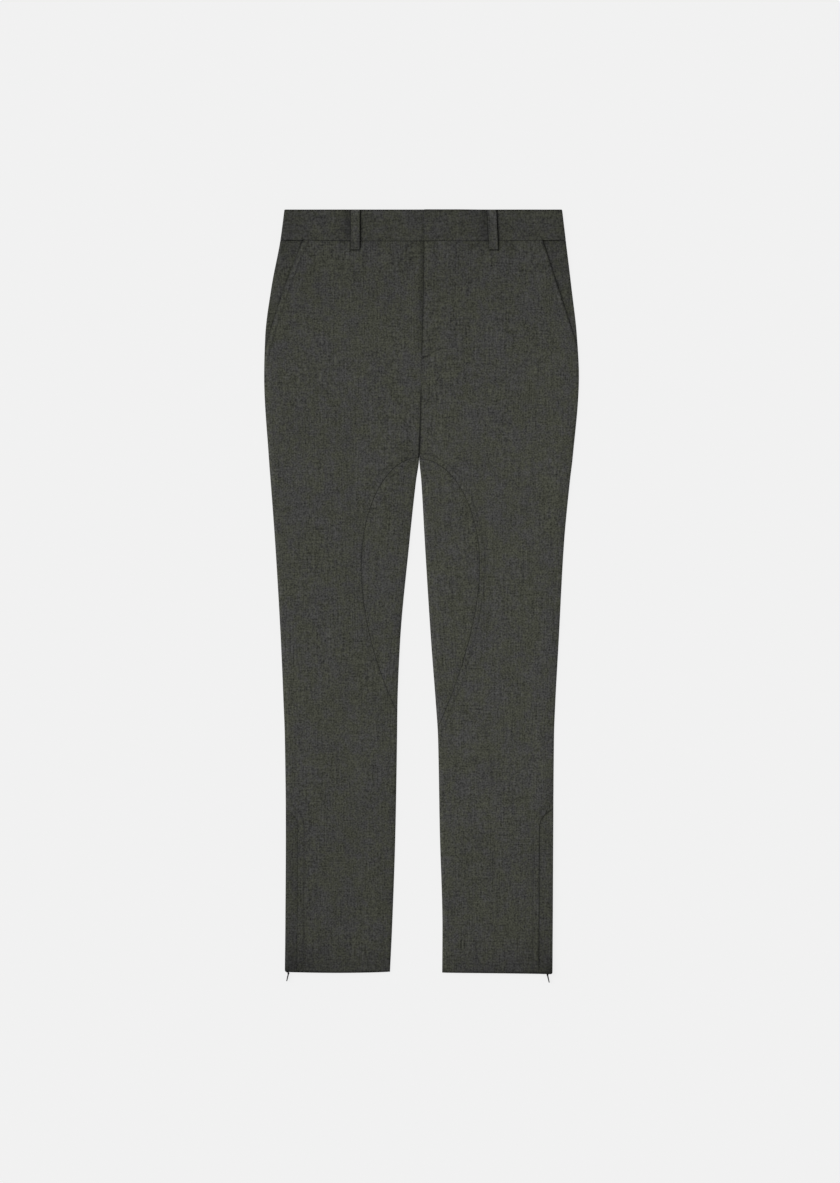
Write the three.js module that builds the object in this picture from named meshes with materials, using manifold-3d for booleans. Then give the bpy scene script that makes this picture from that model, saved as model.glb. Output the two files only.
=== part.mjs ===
// Slim tapered suit trousers, laid out flat on their back.
//
// Right and left are the wearer's. Millimetres. +X runs to the wearer's left, +Y to the waist and +Z up
// out of the front. "drop" is the distance below the top edge of the waistband. The back panels lie on
// the surface, the front panels lie on them, and pieces that meet at a seam keep SEAM_GAP between them.

import * as THREE from "three";
import { mergeVertices } from "three/addons/utils/BufferGeometryUtils.js";
import Module from "manifold-3d";

const wasm = await Module();
wasm.setup();

// ---- Driving dimensions ----------------------------------------------------------------------------

const CLOTH = 1.0; // wall of a suiting panel with its pressed allowances
const BAND_WALL = 2.0; // waistband with its interlining
const LOOP_WALL = 1.2; // belt loop, folded and stitched
const SEAM_GAP = 0.3;

const BAND_DEPTH = 41.5;
const PANEL_TOP = BAND_DEPTH + SEAM_GAP;
const CROTCH = 338;
const HEM = 1040;
const HEM_LEVEL = 960; // drop below which the hem's own line shows
const LEG_SPLIT = -7; // x halfway between the two legs

const LOFT = 2.6; // how far the front stands off the back in the middle of a leg
const WAIST_LOFT = 0.55; // share of LOFT left where the front is held by the waistband
const HELD = { top: 60, gone: 130 }; // drops over which the waistband's hold on the panels dies away
const EDGE_ROLL = 25; // width over which a folded edge rolls down to the back
const BACK_LIFT = 1.5; // the back is carried on its belt loops at the waist
const LIFT_END = 110; // drop at which the back lies on the surface again
// Rise of the closing side over the other: at the waistband and down the fly. It is full as far as
// "full" from the centre and gone at "flat", and dies away at the foot of the fly.
const LAP = { band: 2.3, fly: 0.8, full: 45, flat: 85, foot: 180, gone: 250 };
const HALF_WAIST = 200;
const SEAM_DIP = 1.4; // the waist seam hangs this much lower at the centre

// Sections across the garment: x of the outer edges and of the inner leg edges. Above the crotch both
// inner columns are the centre seam.
const SECTIONS = [
  { drop: 0, outerRight: -187, innerRight: 3.8, innerLeft: 3.8, outerLeft: 192 },
  { drop: 41.5, outerRight: -192.5, innerRight: 3.8, innerLeft: 3.8, outerLeft: 197 },
  { drop: 107, outerRight: -205, innerRight: 3, innerLeft: 3, outerLeft: 205 },
  { drop: 173, outerRight: -213.3, innerRight: 1.7, innerLeft: 1.7, outerLeft: 212.4 },
  { drop: 227, outerRight: -214.8, innerRight: 0.6, innerLeft: 0.6, outerLeft: 215.1 },
  { drop: 338, outerRight: -208.4, innerRight: -1.6, innerLeft: -1.6, outerLeft: 206.6 },
  { drop: 370, outerRight: -206, innerRight: -7.3, innerLeft: -0.2, outerLeft: 202.8 },
  { drop: 457, outerRight: -199.6, innerRight: -16.7, innerLeft: 4.8, outerLeft: 194.6 },
  { drop: 588, outerRight: -192, innerRight: -29, innerLeft: 13.1, outerLeft: 187.5 },
  { drop: 676, outerRight: -188.2, innerRight: -32.7, innerLeft: 19.8, outerLeft: 182.7 },
  { drop: 719, outerRight: -186.6, innerRight: -33.2, innerLeft: 22.6, outerLeft: 181.1 },
  { drop: 850, outerRight: -185.1, innerRight: -35.5, innerLeft: 25.1, outerLeft: 180 },
  { drop: 982, outerRight: -185.8, innerRight: -40.1, innerLeft: 28.7, outerLeft: 179.3 },
  { drop: 1040, outerRight: -186.4, innerRight: -42.9, innerLeft: 28.3, outerLeft: 178.8 },
];

// What differs between the two sides of the wearer.
const SIDES = {
  right: {
    sign: -1,
    outer: "outerRight",
    inner: "innerRight",
    pocketTop: 161.3, // distance of the pocket's upper end from the centre
    pocketEnd: 194.6, // drop at which the pocket runs out on the side seam
    pocketBow: 3, // how far its mouth bows outward, midway
    insetPeak: { x: -82, drop: 486 }, // the inset's widest point
    insetEnd: 686, // where the inset runs out on the inseam
    insetFullness: 1.95,
    stripWidth: 17,
    loopCentre: -90.1,
    loopLean: 0,
    hemDip: { outer: 0, middle: 1.4, inner: 0 },
    pullInset: 5.0, // zip pull's pin, in from the outer edge
    laps: false,
  },
  left: {
    sign: 1,
    outer: "outerLeft",
    inner: "innerLeft",
    pocketTop: 165.5,
    pocketEnd: 188,
    pocketBow: 0,
    insetPeak: { x: 79.7, drop: 488 },
    insetEnd: 708,
    insetFullness: 1.72,
    stripWidth: 18,
    loopCentre: 96.0,
    loopLean: 2.6,
    hemDip: { outer: 2.4, middle: 1.2, inner: 0.4 },
    pullInset: 6.8,
    laps: true,
  },
};

// How far the pocket facing reaches under the front, down to "full"; it runs out at "gone".
const POCKET_UNDERLAP = { reach: 12, full: 145, gone: 180 };
const POCKET_CLEAR = 0.5; // between the facing and the front that covers it
const INSET_HEIGHT = 148; // from the inset's top to its widest point

const FLY_LENGTH = 160;
const FLY_SHIELD = { reach: 34, behind: 8, clear: 0.4 };
const BAND_UNDERLAP = 36;

const STRIP_TOP = 818; // drop at which the ankle strip leaves the side seam
const STRIP_CURVE = 28; // drop over which it reaches its full width
const ZIP_TOP = 826;
const ZIP_RECESS = 3.5; // the zip lies this far in from the cloth's edge
const ZIP_TAPE = 12;
const ZIP_RISE = { from: 790, to: 840, share: 0.92 };
const SLIDER_RISE = { from: 1000, to: 1028, height: 1.3, width: 26 };

const LOOP = { width: 12.3, top: 0.6, below: 13, stand: 1.4 };
const BACK_LOOPS = { right: -118, centre: 0.5, left: 118 };

const SLIDER = { length: 9, inward: 0.6, outward: 4.0, height: 3.4, past: 0.3, nose: 1.4 };
const PIN = { radius: 0.5, past: 1.9 };
const CHEEK = 0.6;
const PULL = { length: 11, wall: 1.8, height: 3.2, eye: 1.3, bore: 0.85, neck: 2.3, tip: 1.3, slant: 13 };

// ---- Small mathematics -----------------------------------------------------------------------------

const clamp01 = (value) => THREE.MathUtils.clamp(value, 0, 1);

// 0 before "from", 1 after "to", smooth between them; the two may also be given high to low.
const fade = (value, from, to) => {
  const t = clamp01((value - from) / (to - from));
  return t * t * (3 - 2 * t);
};

// Rise of a folded edge: 0 on the edge, 1 once past the roll, like a quarter of an ellipse.
const rolled = (distance) => Math.sqrt(1 - (1 - clamp01(distance / EDGE_ROLL)) ** 2);

// Smooth curve through one column of SECTIONS, which never overshoots its rows.
function column(name, drop) {
  const last = SECTIONS.length - 2;
  let row = SECTIONS.findIndex((section) => section.drop > drop) - 1;
  if (row < 0) {
    row = drop <= 0 ? 0 : last;
  }
  const slope = (k) => {
    const a = SECTIONS[k];
    const b = SECTIONS[k + 1];
    return (b[name] - a[name]) / (b.drop - a.drop);
  };
  const tangent = (k) => {
    if (k === 0 || k === SECTIONS.length - 1) {
      return slope(Math.min(k, last));
    }
    const before = slope(k - 1);
    const after = slope(k);
    return before * after <= 0 ? 0 : (2 * before * after) / (before + after);
  };
  const a = SECTIONS[row];
  const b = SECTIONS[row + 1];
  const span = b.drop - a.drop;
  const t = (drop - a.drop) / span;
  const bend = (t - 1) * t * span;
  const ease = t * t * (3 - 2 * t);
  return a[name] + (b[name] - a[name]) * ease + bend * ((t - 1) * tangent(row) + t * tangent(row + 1));
}

const outer = (side) => (drop) => column(side.outer, drop);
const inner = (side) => (drop) => column(drop < CROTCH ? "innerRight" : side.inner, drop);

// ---- Seam lines, each as x over drop ---------------------------------------------------------------

const pocketLine = (side) => (drop) => {
  const share = (drop - BAND_DEPTH) / (side.pocketEnd - BAND_DEPTH);
  const straight = THREE.MathUtils.lerp(side.sign * side.pocketTop, outer(side)(side.pocketEnd), share);
  return straight + side.sign * side.pocketBow * 4 * share * (1 - share);
};

const insetTop = (side) => side.insetPeak.drop - INSET_HEIGHT;

const insetLine = (side) => (drop) => {
  const start = inner(side)(insetTop(side));
  const peak = side.insetPeak;
  if (drop < peak.drop) {
    const up = Math.min((peak.drop - drop) / INSET_HEIGHT, 1);
    return THREE.MathUtils.lerp(start, peak.x, Math.sqrt(1 - up * up));
  }
  const down = (drop - peak.drop) / (side.insetEnd - peak.drop);
  return THREE.MathUtils.lerp(peak.x, inner(side)(side.insetEnd), down ** side.insetFullness);
};

const stripLine = (side) => (drop) => {
  const share = clamp01((drop - STRIP_TOP) / STRIP_CURVE);
  return outer(side)(drop) - side.sign * side.stripWidth * (1 - (1 - share) ** 3);
};

const frontOuter = (side) => (drop) => {
  if (drop < side.pocketEnd) {
    return pocketLine(side)(drop);
  }
  return drop < STRIP_TOP ? outer(side)(drop) : stripLine(side)(drop);
};

const frontInner = (side) => (drop) => {
  const onInset = drop > insetTop(side) && drop < side.insetEnd;
  return onInset ? insetLine(side)(drop) : inner(side)(drop);
};

const hipInner = (side) => (drop) => {
  const underlap = POCKET_UNDERLAP.reach * fade(drop, POCKET_UNDERLAP.gone, POCKET_UNDERLAP.full);
  return pocketLine(side)(drop) - side.sign * underlap;
};

// Half the seam gap, square to a line, as a distance in x.
const WIDEST_GAP = 4; // how many times the gap may widen, where a seam runs nearly level
function halfGap(line, drop) {
  const step = 0.25;
  const slope = (line(drop + step) - line(drop - step)) / (2 * step);
  return (SEAM_GAP / 2) * Math.min(Math.hypot(1, slope), WIDEST_GAP);
}

// ---- Heights ---------------------------------------------------------------------------------------

const backUnder = (drop) => BACK_LIFT * fade(drop, LIFT_END, HELD.top);
const backTop = (drop) => backUnder(drop) + CLOTH;

function fromLegEdge(x, drop) {
  if (drop < CROTCH) {
    return Math.hypot(x - column("innerRight", CROTCH), CROTCH - drop);
  }
  return Math.max(column("innerRight", drop) - x, x - column("innerLeft", drop), 0);
}

const lap = (x, drop) => {
  const height = THREE.MathUtils.lerp(LAP.fly, LAP.band, fade(drop, HELD.gone, BAND_DEPTH));
  return height * fade(x, LAP.flat, LAP.full) * fade(drop, LAP.gone, LAP.foot);
};

// Underside of the front layer.
function frontUnder(side, x, drop) {
  const fromSide = Math.max(side.sign * (outer(side)(drop) - x), 0);
  const zipOpen = ZIP_RISE.share * fade(drop, ZIP_RISE.from, ZIP_RISE.to);
  const share = THREE.MathUtils.lerp(WAIST_LOFT, 1, fade(drop, BAND_DEPTH, HELD.gone));
  const loft = LOFT * share * Math.max(rolled(fromSide), zipOpen) * rolled(fromLegEdge(x, drop));
  const slider = SLIDER_RISE.height * fade(drop, SLIDER_RISE.from, SLIDER_RISE.to)
    * fade(fromSide, SLIDER_RISE.width, SLIDER.length);
  return backTop(drop) + SEAM_GAP + loft + slider + (side.laps ? lap(x, drop) : 0);
}

// Underside of what lies beneath the front, on the back or against the front.
function facingUnder(side, x, drop, clear) {
  const plain = { ...side, laps: false };
  return Math.max(backTop(drop) + SEAM_GAP, frontUnder(plain, x, drop) - CLOTH - clear);
}

// ---- Places ----------------------------------------------------------------------------------------

// A point of the garment: the waist seam dips at the centre, and each hem has its own line.
function place(x, drop, z) {
  const held = Math.min(clamp01(drop / BAND_DEPTH), fade(drop, HELD.gone, HELD.top));
  const waist = SEAM_DIP * (1 - (x / HALF_WAIST) ** 2) * held;
  const side = x < LEG_SPLIT ? SIDES.right : SIDES.left;
  const across = clamp01((x - inner(side)(drop)) / (outer(side)(drop) - inner(side)(drop)));
  const { outer: atOuter, middle, inner: atInner } = side.hemDip;
  const bow = (middle - (atOuter + atInner) / 2) * (1 - (2 * across - 1) ** 2);
  const hem = (THREE.MathUtils.lerp(atInner, atOuter, across) + bow) * fade(drop, HEM_LEVEL, HEM);
  return new THREE.Vector3(x, -(drop + waist + hem), z);
}

// The drops at which a side's panels have a section: close together where one of its seams turns.
const WAIST_DROPS = [PANEL_TOP, 60, 72, 85, 98, 110, 127, 145, 158, 168, 174, 180];
const POCKET_DROPS = [-6, -3, 0]; // from the pocket's lower end
const INSET_DROPS = [1, 3, 6, 12, 22, 38, 62, 98];
const ANKLE_DROPS = [790, STRIP_TOP + 1.5, 822, 826, 832, 840, 850, 1000, 1014, 1028];
const LONGEST_STEP = 40;

function sectionDrops(side, plain) {
  const seams = [
    ...INSET_DROPS.map((below) => insetTop(side) + below),
    side.insetPeak.drop,
    side.insetEnd - 2,
    side.insetEnd,
    ...ANKLE_DROPS,
  ];
  const pocket = POCKET_DROPS.map((from) => side.pocketEnd + from);
  const marks = [...WAIST_DROPS, ...pocket, CROTCH, ...(plain ? [] : seams), HEM];
  return marks.slice(1).reduce((list, end) => {
    const start = list[list.length - 1];
    const steps = Math.ceil((end - start) / LONGEST_STEP);
    for (let k = 1; k <= steps; k += 1) {
      list.push(start + ((end - start) * k) / steps);
    }
    return list;
  }, [marks[0]]);
}

function dropsBetween(side, from, to, plain = false) {
  return [from, ...sectionDrops(side, plain).filter((drop) => drop > from + 0.2 && drop < to - 0.2), to];
}

// ---- Cloth walls -----------------------------------------------------------------------------------

// A closed wall from sections that each hold matching points of its two faces.
function wall(sections) {
  const count = sections[0].under.length;
  const points = sections.flatMap(({ under, over }) => [...under, ...over]);
  const under = (k, i) => k * 2 * count + i;
  const over = (k, i) => under(k, i) + count;
  const faces = [];
  const quad = (a, b, c, d) => faces.push(a, b, c, a, c, d);
  const lastSection = sections.length - 1;
  for (let k = 0; k < lastSection; k += 1) {
    for (let i = 0; i < count - 1; i += 1) {
      quad(over(k, i), over(k + 1, i), over(k + 1, i + 1), over(k, i + 1));
      quad(under(k, i), under(k, i + 1), under(k + 1, i + 1), under(k + 1, i));
    }
    quad(under(k, 0), under(k + 1, 0), over(k + 1, 0), over(k, 0));
    quad(under(k, count - 1), over(k, count - 1), over(k + 1, count - 1), under(k + 1, count - 1));
  }
  for (let i = 0; i < count - 1; i += 1) {
    quad(under(0, i), over(0, i), over(0, i + 1), under(0, i + 1));
    quad(under(lastSection, i), under(lastSection, i + 1), over(lastSection, i + 1), over(lastSection, i));
  }
  const geometry = new THREE.BufferGeometry().setFromPoints(points);
  geometry.setIndex(outward(points, faces));
  return geometry;
}

// The faces in the order that points them out of the body.
function outward(points, faces) {
  let volume = 0;
  const cross = new THREE.Vector3();
  for (let f = 0; f < faces.length; f += 3) {
    cross.crossVectors(points[faces[f + 1]], points[faces[f + 2]]);
    volume += points[faces[f]].dot(cross);
  }
  if (volume > 0) {
    return faces;
  }
  return faces.map((_, f) => faces[f - (f % 3) + [0, 2, 1][f % 3]]);
}

// A flat-laid panel between two seam lines, from one drop to another.
function panel({ side, lines, from, to, xs, under, plain }) {
  const sections = dropsBetween(side, from, to, plain).map((drop) => {
    const [low, high] = [...lines].sort((a, b) => a(drop) - b(drop));
    const left = low(drop) + halfGap(low, drop);
    const right = high(drop) - halfGap(high, drop);
    const row = xs(left, right);
    return {
      under: row.map((x) => place(x, drop, under(x, drop))),
      over: row.map((x) => place(x, drop, under(x, drop) + CLOTH)),
    };
  });
  return wall(sections);
}

// Columns close to both edges of a front panel, and fewer across its middle: where the lap falls away
// on the side that laps, and even on the other.
const ROLL_COLUMNS = [0, 1.2, 3.5, 8, 15, 25];
const LAP_COLUMNS = [45, 65, 86];
const EVEN_COLUMNS = [1 / 3, 2 / 3];
const frontColumns = (side) => (left, right) => [
  ...ROLL_COLUMNS.map((d) => left + d),
  ...(side.laps
    ? LAP_COLUMNS.map((d) => left + d)
    : EVEN_COLUMNS.map((t) => THREE.MathUtils.lerp(left + EDGE_ROLL, right - EDGE_ROLL, t))),
  ...ROLL_COLUMNS.map((d) => right - d).reverse(),
];
const shareColumns = (shares) => (left, right) => shares.map((t) => THREE.MathUtils.lerp(left, right, t));
const towards = (side, shares) => shareColumns(side.sign < 0 ? shares : shares.map((t) => 1 - t).reverse());

// ---- The trousers' pieces --------------------------------------------------------------------------

const frontPanel = (side) => panel({
  side,
  lines: [frontOuter(side), frontInner(side)],
  from: PANEL_TOP,
  to: HEM,
  xs: frontColumns(side),
  under: (x, drop) => frontUnder(side, x, drop),
});

const backPanel = (side) => panel({
  side,
  lines: [outer(side), inner(side)],
  from: PANEL_TOP,
  to: HEM,
  xs: shareColumns([0, 0.5, 1]),
  under: (x, drop) => backUnder(drop),
  plain: true,
});

const hipPiece = (side) => panel({
  side,
  lines: [outer(side), hipInner(side)],
  from: PANEL_TOP,
  to: side.pocketEnd - 3,
  xs: towards(side, [0, 0.04, 0.12, 0.3, 0.6, 1]),
  under: (x, drop) => facingUnder(side, x, drop, POCKET_CLEAR),
});

const insetPanel = (side) => panel({
  side,
  lines: [insetLine(side), inner(side)],
  from: insetTop(side) + 1,
  to: side.insetEnd - 2,
  xs: towards(side, [0, 0.4, 0.65, 0.82, 0.92, 0.97, 1]),
  under: (x, drop) => frontUnder(side, x, drop),
});

const ankleStrip = (side) => panel({
  side,
  lines: [outer(side), stripLine(side)],
  from: STRIP_TOP + 1.5,
  to: HEM,
  xs: towards(side, [0, 0.25, 0.6, 1]),
  under: (x, drop) => frontUnder(side, x, drop),
});

const flyShield = () => panel({
  side: SIDES.left,
  lines: [
    (drop) => column("innerRight", drop) - FLY_SHIELD.behind,
    (drop) => column("innerRight", drop) + FLY_SHIELD.reach,
  ],
  from: PANEL_TOP + 1,
  to: BAND_DEPTH + FLY_LENGTH,
  xs: shareColumns([0, 0.5, 1]),
  under: (x, drop) => facingUnder(x < 0 ? SIDES.right : SIDES.left, x, drop, FLY_SHIELD.clear),
  plain: true,
});

// Half of the waistband: from the centre back round the side fold to the closure at the front.
function waistband(side) {
  const low = BACK_LIFT;
  const backFace = low + BAND_WALL;
  const frontFace = backFace + SEAM_GAP;
  const fold = [
    { in: 6, inside: backFace, outside: low },
    { in: 2.6, inside: backFace, outside: low },
    { in: 0.7, inside: backFace + 0.05, outside: low + 0.9, corner: true },
    { in: 0, inside: (backFace + frontFace) / 2, outside: (backFace + frontFace) / 2, corner: true },
    { in: 0.7, inside: frontFace - 0.05, outside: frontFace + BAND_WALL - 0.9, corner: true },
    { in: 2.6, inside: frontFace, outside: frontFace + BAND_WALL },
    { in: 6, inside: frontFace, outside: frontFace + BAND_WALL },
  ];
  const frontXs = side.laps ? [130, 85, 72, 58, 45, 20] : [-100, -20];
  const end = side.laps ? SEAM_GAP : BAND_UNDERLAP;
  const sections = [0, BAND_DEPTH / 2, BAND_DEPTH].map((drop) => {
    const edge = outer(side)(drop);
    const centreBack = side.sign * (SEAM_GAP / 2);
    const inside = [place(centreBack, drop, backFace)];
    const outside = [place(centreBack, drop, low)];
    fold.forEach((point) => {
      const inX = edge - side.sign * (point.corner ? BAND_WALL + point.in * 0.5 : point.in);
      inside.push(place(inX, drop, point.inside));
      outside.push(place(edge - side.sign * point.in, drop, point.outside));
    });
    [...frontXs, inner(side)(drop) + end].forEach((x) => {
      const rise = side.laps ? lap(x, BAND_DEPTH) : 0;
      inside.push(place(x, drop, frontFace + rise));
      outside.push(place(x, drop, frontFace + BAND_WALL + rise));
    });
    return { under: inside, over: outside };
  });
  return wall(sections);
}

// A belt loop on the front: sewn down at its two ends and standing a little proud between them.
function frontLoop(side) {
  const x = side.loopCentre;
  const bandFace = BACK_LIFT + 2 * BAND_WALL + 2 * SEAM_GAP;
  const end = BAND_DEPTH + LOOP.below;
  const highest = Math.max(...[-1, 0, 1].map((k) => frontUnder(side, x + (k * LOOP.width) / 2 + side.loopLean, end)));
  const footFace = highest + CLOTH + SEAM_GAP;
  const profile = [
    { drop: LOOP.top, z: bandFace },
    { drop: 4, z: bandFace },
    { drop: 8, z: bandFace + 0.6 * LOOP.stand },
    { drop: 14, z: bandFace + LOOP.stand },
    { drop: 34, z: bandFace + LOOP.stand },
    { drop: 40, z: bandFace + 0.7 * LOOP.stand },
    { drop: BAND_DEPTH + 1, z: bandFace + 0.4 },
    { drop: end - 8, z: footFace + 0.1 },
    { drop: end, z: footFace },
  ];
  return loopWall(profile, x, side.loopLean);
}

// A belt loop on the back: pressed flat under the waistband.
function backLoop(x) {
  const profile = [LOOP.top, BAND_DEPTH, BAND_DEPTH + LOOP.below].map((drop) => ({ drop, z: 0 }));
  return loopWall(profile, x, 0);
}

function loopWall(profile, centre, lean) {
  const half = LOOP.width / 2;
  const sections = profile.map(({ drop, z }) => {
    const x = centre + (lean * drop) / (BAND_DEPTH + LOOP.below);
    const across = [x - half, x + half];
    return {
      under: across.map((at) => new THREE.Vector3(at, -drop, z)),
      over: across.map((at) => new THREE.Vector3(at, -drop, z + LOOP_WALL)),
    };
  });
  return wall(sections);
}

// The closed ankle zip's two tapes, lying on each other between the strip and the back.
function zipTape(side) {
  const last = HEM - SLIDER.length - SEAM_GAP;
  const sections = dropsBetween(side, ZIP_TOP, last).map((drop) => {
    const edge = outer(side)(drop) - side.sign * ZIP_RECESS;
    const xs = [edge, edge - side.sign * ZIP_TAPE];
    const top = (x) => frontUnder(side, x, Math.min(drop, SLIDER_RISE.from)) - SEAM_GAP;
    return {
      under: xs.map((x) => place(x, drop, backTop(drop) + SEAM_GAP)),
      over: xs.map((x) => place(x, drop, top(x))),
    };
  });
  return wall(sections);
}

// ---- Zip slider and pull ---------------------------------------------------------------------------

function toSolid(geometry) {
  const bare = geometry.clone();
  bare.deleteAttribute("normal");
  bare.deleteAttribute("uv");
  const merged = mergeVertices(bare, 1e-4);
  return new wasm.Manifold(new wasm.Mesh({
    numProp: 3,
    vertProperties: Float32Array.from(merged.attributes.position.array),
    triVerts: Uint32Array.from(merged.index.array),
  }));
}

function fromSolid(solid) {
  const mesh = solid.getMesh();
  const geometry = new THREE.BufferGeometry();
  geometry.setAttribute("position", new THREE.BufferAttribute(mesh.vertProperties, 3));
  geometry.setIndex(new THREE.BufferAttribute(mesh.triVerts, 1));
  return geometry;
}

const upright = (radius, low, high) => new THREE.CylinderGeometry(radius, radius, high - low, 16)
  .rotateX(Math.PI / 2)
  .translate(0, 0, (low + high) / 2);

const plate = (shape, low, high) => new THREE.ExtrudeGeometry(shape, { depth: high - low, bevelEnabled: false })
  .translate(0, 0, low);

const SLIDER_LOW = CLOTH + SEAM_GAP;
const SLIDER_HIGH = SLIDER_LOW + SLIDER.height;

// Where the pull's pin stands. The pin is upright, because the zip faces sideways out of the side seam.
function pinPlace(side) {
  const x = outer(side)(HEM) - side.sign * side.pullInset;
  return place(x, HEM, 0).add(new THREE.Vector3(0, -PIN.past, 0));
}

// In the pin's own frame, with +X out of the leg on the wearer's left and out of it on the right too.
function slider(side) {
  const out = side.sign;
  const back = PIN.past - SLIDER.past;
  const body = new THREE.Shape([
    new THREE.Vector2(-out * SLIDER.inward, back),
    new THREE.Vector2(out * (SLIDER.outward - 1), back),
    new THREE.Vector2(out * SLIDER.outward, back + 1.6),
    new THREE.Vector2(out * SLIDER.outward, back + SLIDER.length - 1.5),
    new THREE.Vector2(out * (SLIDER.outward - 0.9), back + SLIDER.length),
    new THREE.Vector2(-out * SLIDER.inward, back + SLIDER.length),
  ]);
  const cheekShape = () => new THREE.Shape([
    new THREE.Vector2(-out * SLIDER.inward, back + 1),
    new THREE.Vector2(-out * SLIDER.inward, 0),
    new THREE.Vector2(-out * 0.9, -1),
    new THREE.Vector2(0, -SLIDER.nose),
    new THREE.Vector2(out * 0.9, -1),
    new THREE.Vector2(out * SLIDER.nose, 0),
    new THREE.Vector2(out * SLIDER.nose, back + 1),
  ]);
  const parts = [
    toSolid(plate(body, SLIDER_LOW, SLIDER_HIGH)),
    toSolid(plate(cheekShape(), SLIDER_LOW, SLIDER_LOW + CHEEK)),
    toSolid(plate(cheekShape(), SLIDER_HIGH - CHEEK, SLIDER_HIGH)),
    toSolid(upright(PIN.radius, SLIDER_LOW + CHEEK / 2, SLIDER_HIGH - CHEEK / 2)),
  ];
  return fromSolid(parts.reduce((whole, piece) => whole.add(piece)));
}

// The pull hangs past the hem: a narrow eye between the slider's cheeks and a slim tab below it.
function pull(side) {
  const middle = (SLIDER_LOW + SLIDER_HIGH) / 2;
  const eyeHalf = SLIDER.height / 2 - CHEEK - SEAM_GAP;
  const half = PULL.wall / 2;
  const neck = new THREE.Shape([
    new THREE.Vector2(-half, 0),
    new THREE.Vector2(-half, -PULL.neck - 0.5),
    new THREE.Vector2(half, -PULL.neck - 0.5),
    new THREE.Vector2(half, 0),
  ]);
  const tab = new THREE.Shape([
    new THREE.Vector2(-half, -PULL.neck),
    new THREE.Vector2(-PULL.tip / 2, -PULL.length + 0.6),
    new THREE.Vector2(0, -PULL.length),
    new THREE.Vector2(PULL.tip / 2, -PULL.length + 0.6),
    new THREE.Vector2(half, -PULL.neck),
  ]);
  const solid = toSolid(upright(PULL.eye, middle - eyeHalf, middle + eyeHalf))
    .add(toSolid(plate(neck, middle - eyeHalf, middle + eyeHalf)))
    .add(toSolid(plate(tab, middle - PULL.height / 2, middle + PULL.height / 2)))
    .subtract(toSolid(upright(PULL.bore, SLIDER_LOW, SLIDER_HIGH)));
  return fromSolid(solid).rotateZ(side.sign * THREE.MathUtils.degToRad(PULL.slant));
}

// ---- Assembly --------------------------------------------------------------------------------------

const FINISHES = {
  suiting: { color: 0x40413c, roughness: 0.92, metalness: 0 },
  suitingDark: { color: 0x3a3b36, roughness: 0.92, metalness: 0 },
  tape: { color: 0x24241f, roughness: 0.9, metalness: 0 },
  gunmetal: { color: 0x3c3c3d, roughness: 0.4, metalness: 0.9 },
};

const garment = new THREE.Group();

function add(name, geometry, finish, position) {
  geometry.computeVertexNormals();
  const mesh = new THREE.Mesh(geometry, new THREE.MeshStandardMaterial(FINISHES[finish]));
  mesh.name = name;
  if (position) {
    mesh.position.copy(position);
  }
  garment.add(mesh);
}

Object.entries(SIDES).forEach(([name, side]) => {
  add(`front_panel_${name}`, frontPanel(side), "suiting");
  add(`back_panel_${name}`, backPanel(side), "suiting");
  add(`hip_piece_${name}`, hipPiece(side), "suitingDark");
  add(`inset_panel_${name}`, insetPanel(side), "suiting");
  add(`ankle_strip_${name}`, ankleStrip(side), "suiting");
  add(`waistband_${name}`, waistband(side), "suitingDark");
  add(`belt_loop_front_${name}`, frontLoop(side), "suitingDark");
  add(`ankle_zip_tape_${name}`, zipTape(side), "tape");
  add(`zip_slider_${name}`, slider(side), "gunmetal", pinPlace(side));
  add(`zip_pull_${name}`, pull(side), "gunmetal", pinPlace(side));
});

add("fly_shield", flyShield(), "suitingDark");
Object.entries(BACK_LOOPS).forEach(([name, x]) => {
  add(`belt_loop_back_${name}`, backLoop(x), "suitingDark");
});

const extent = new THREE.Box3().setFromObject(garment);
const middle = extent.getCenter(new THREE.Vector3());
garment.position.set(-middle.x, -middle.y, -extent.min.z);
garment.updateMatrixWorld(true);

export default garment;
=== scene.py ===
"""Slim tapered suit trousers in an olive-grey melange wool, laid out flat on their back.

Right and left are the wearer's. Patterns and seam lines are in millimetres: x runs to the wearer's left and
"drop" is the distance below the top edge of the waistband. Lay.place turns them into the row frame,
in metres.
"""

import logging
import math
from collections.abc import Callable, Sequence
from dataclasses import dataclass, field
from enum import Enum
from functools import cached_property

import bmesh
import bpy
import numpy as np
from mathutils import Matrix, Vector


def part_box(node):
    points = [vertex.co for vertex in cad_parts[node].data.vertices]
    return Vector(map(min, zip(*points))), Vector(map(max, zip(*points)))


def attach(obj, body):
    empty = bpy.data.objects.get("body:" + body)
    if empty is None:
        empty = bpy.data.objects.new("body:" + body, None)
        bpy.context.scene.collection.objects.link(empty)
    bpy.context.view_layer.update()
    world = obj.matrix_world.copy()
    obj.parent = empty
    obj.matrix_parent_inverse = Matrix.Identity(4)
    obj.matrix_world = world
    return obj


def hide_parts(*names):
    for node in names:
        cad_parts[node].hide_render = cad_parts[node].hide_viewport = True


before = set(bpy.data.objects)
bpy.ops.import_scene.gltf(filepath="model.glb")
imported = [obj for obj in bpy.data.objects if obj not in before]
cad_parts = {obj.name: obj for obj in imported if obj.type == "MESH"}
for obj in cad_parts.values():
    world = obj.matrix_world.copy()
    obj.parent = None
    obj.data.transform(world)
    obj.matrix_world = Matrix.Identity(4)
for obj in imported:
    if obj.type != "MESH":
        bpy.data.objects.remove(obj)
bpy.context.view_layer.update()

LOG = logging.getLogger("trousers")
MM = 0.001
DISPLAY_GAMMA = 2.2
FAR = 1e4

Array = np.ndarray
Line = Callable[[Array], Array]
Colour = tuple[float, float, float]


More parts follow.
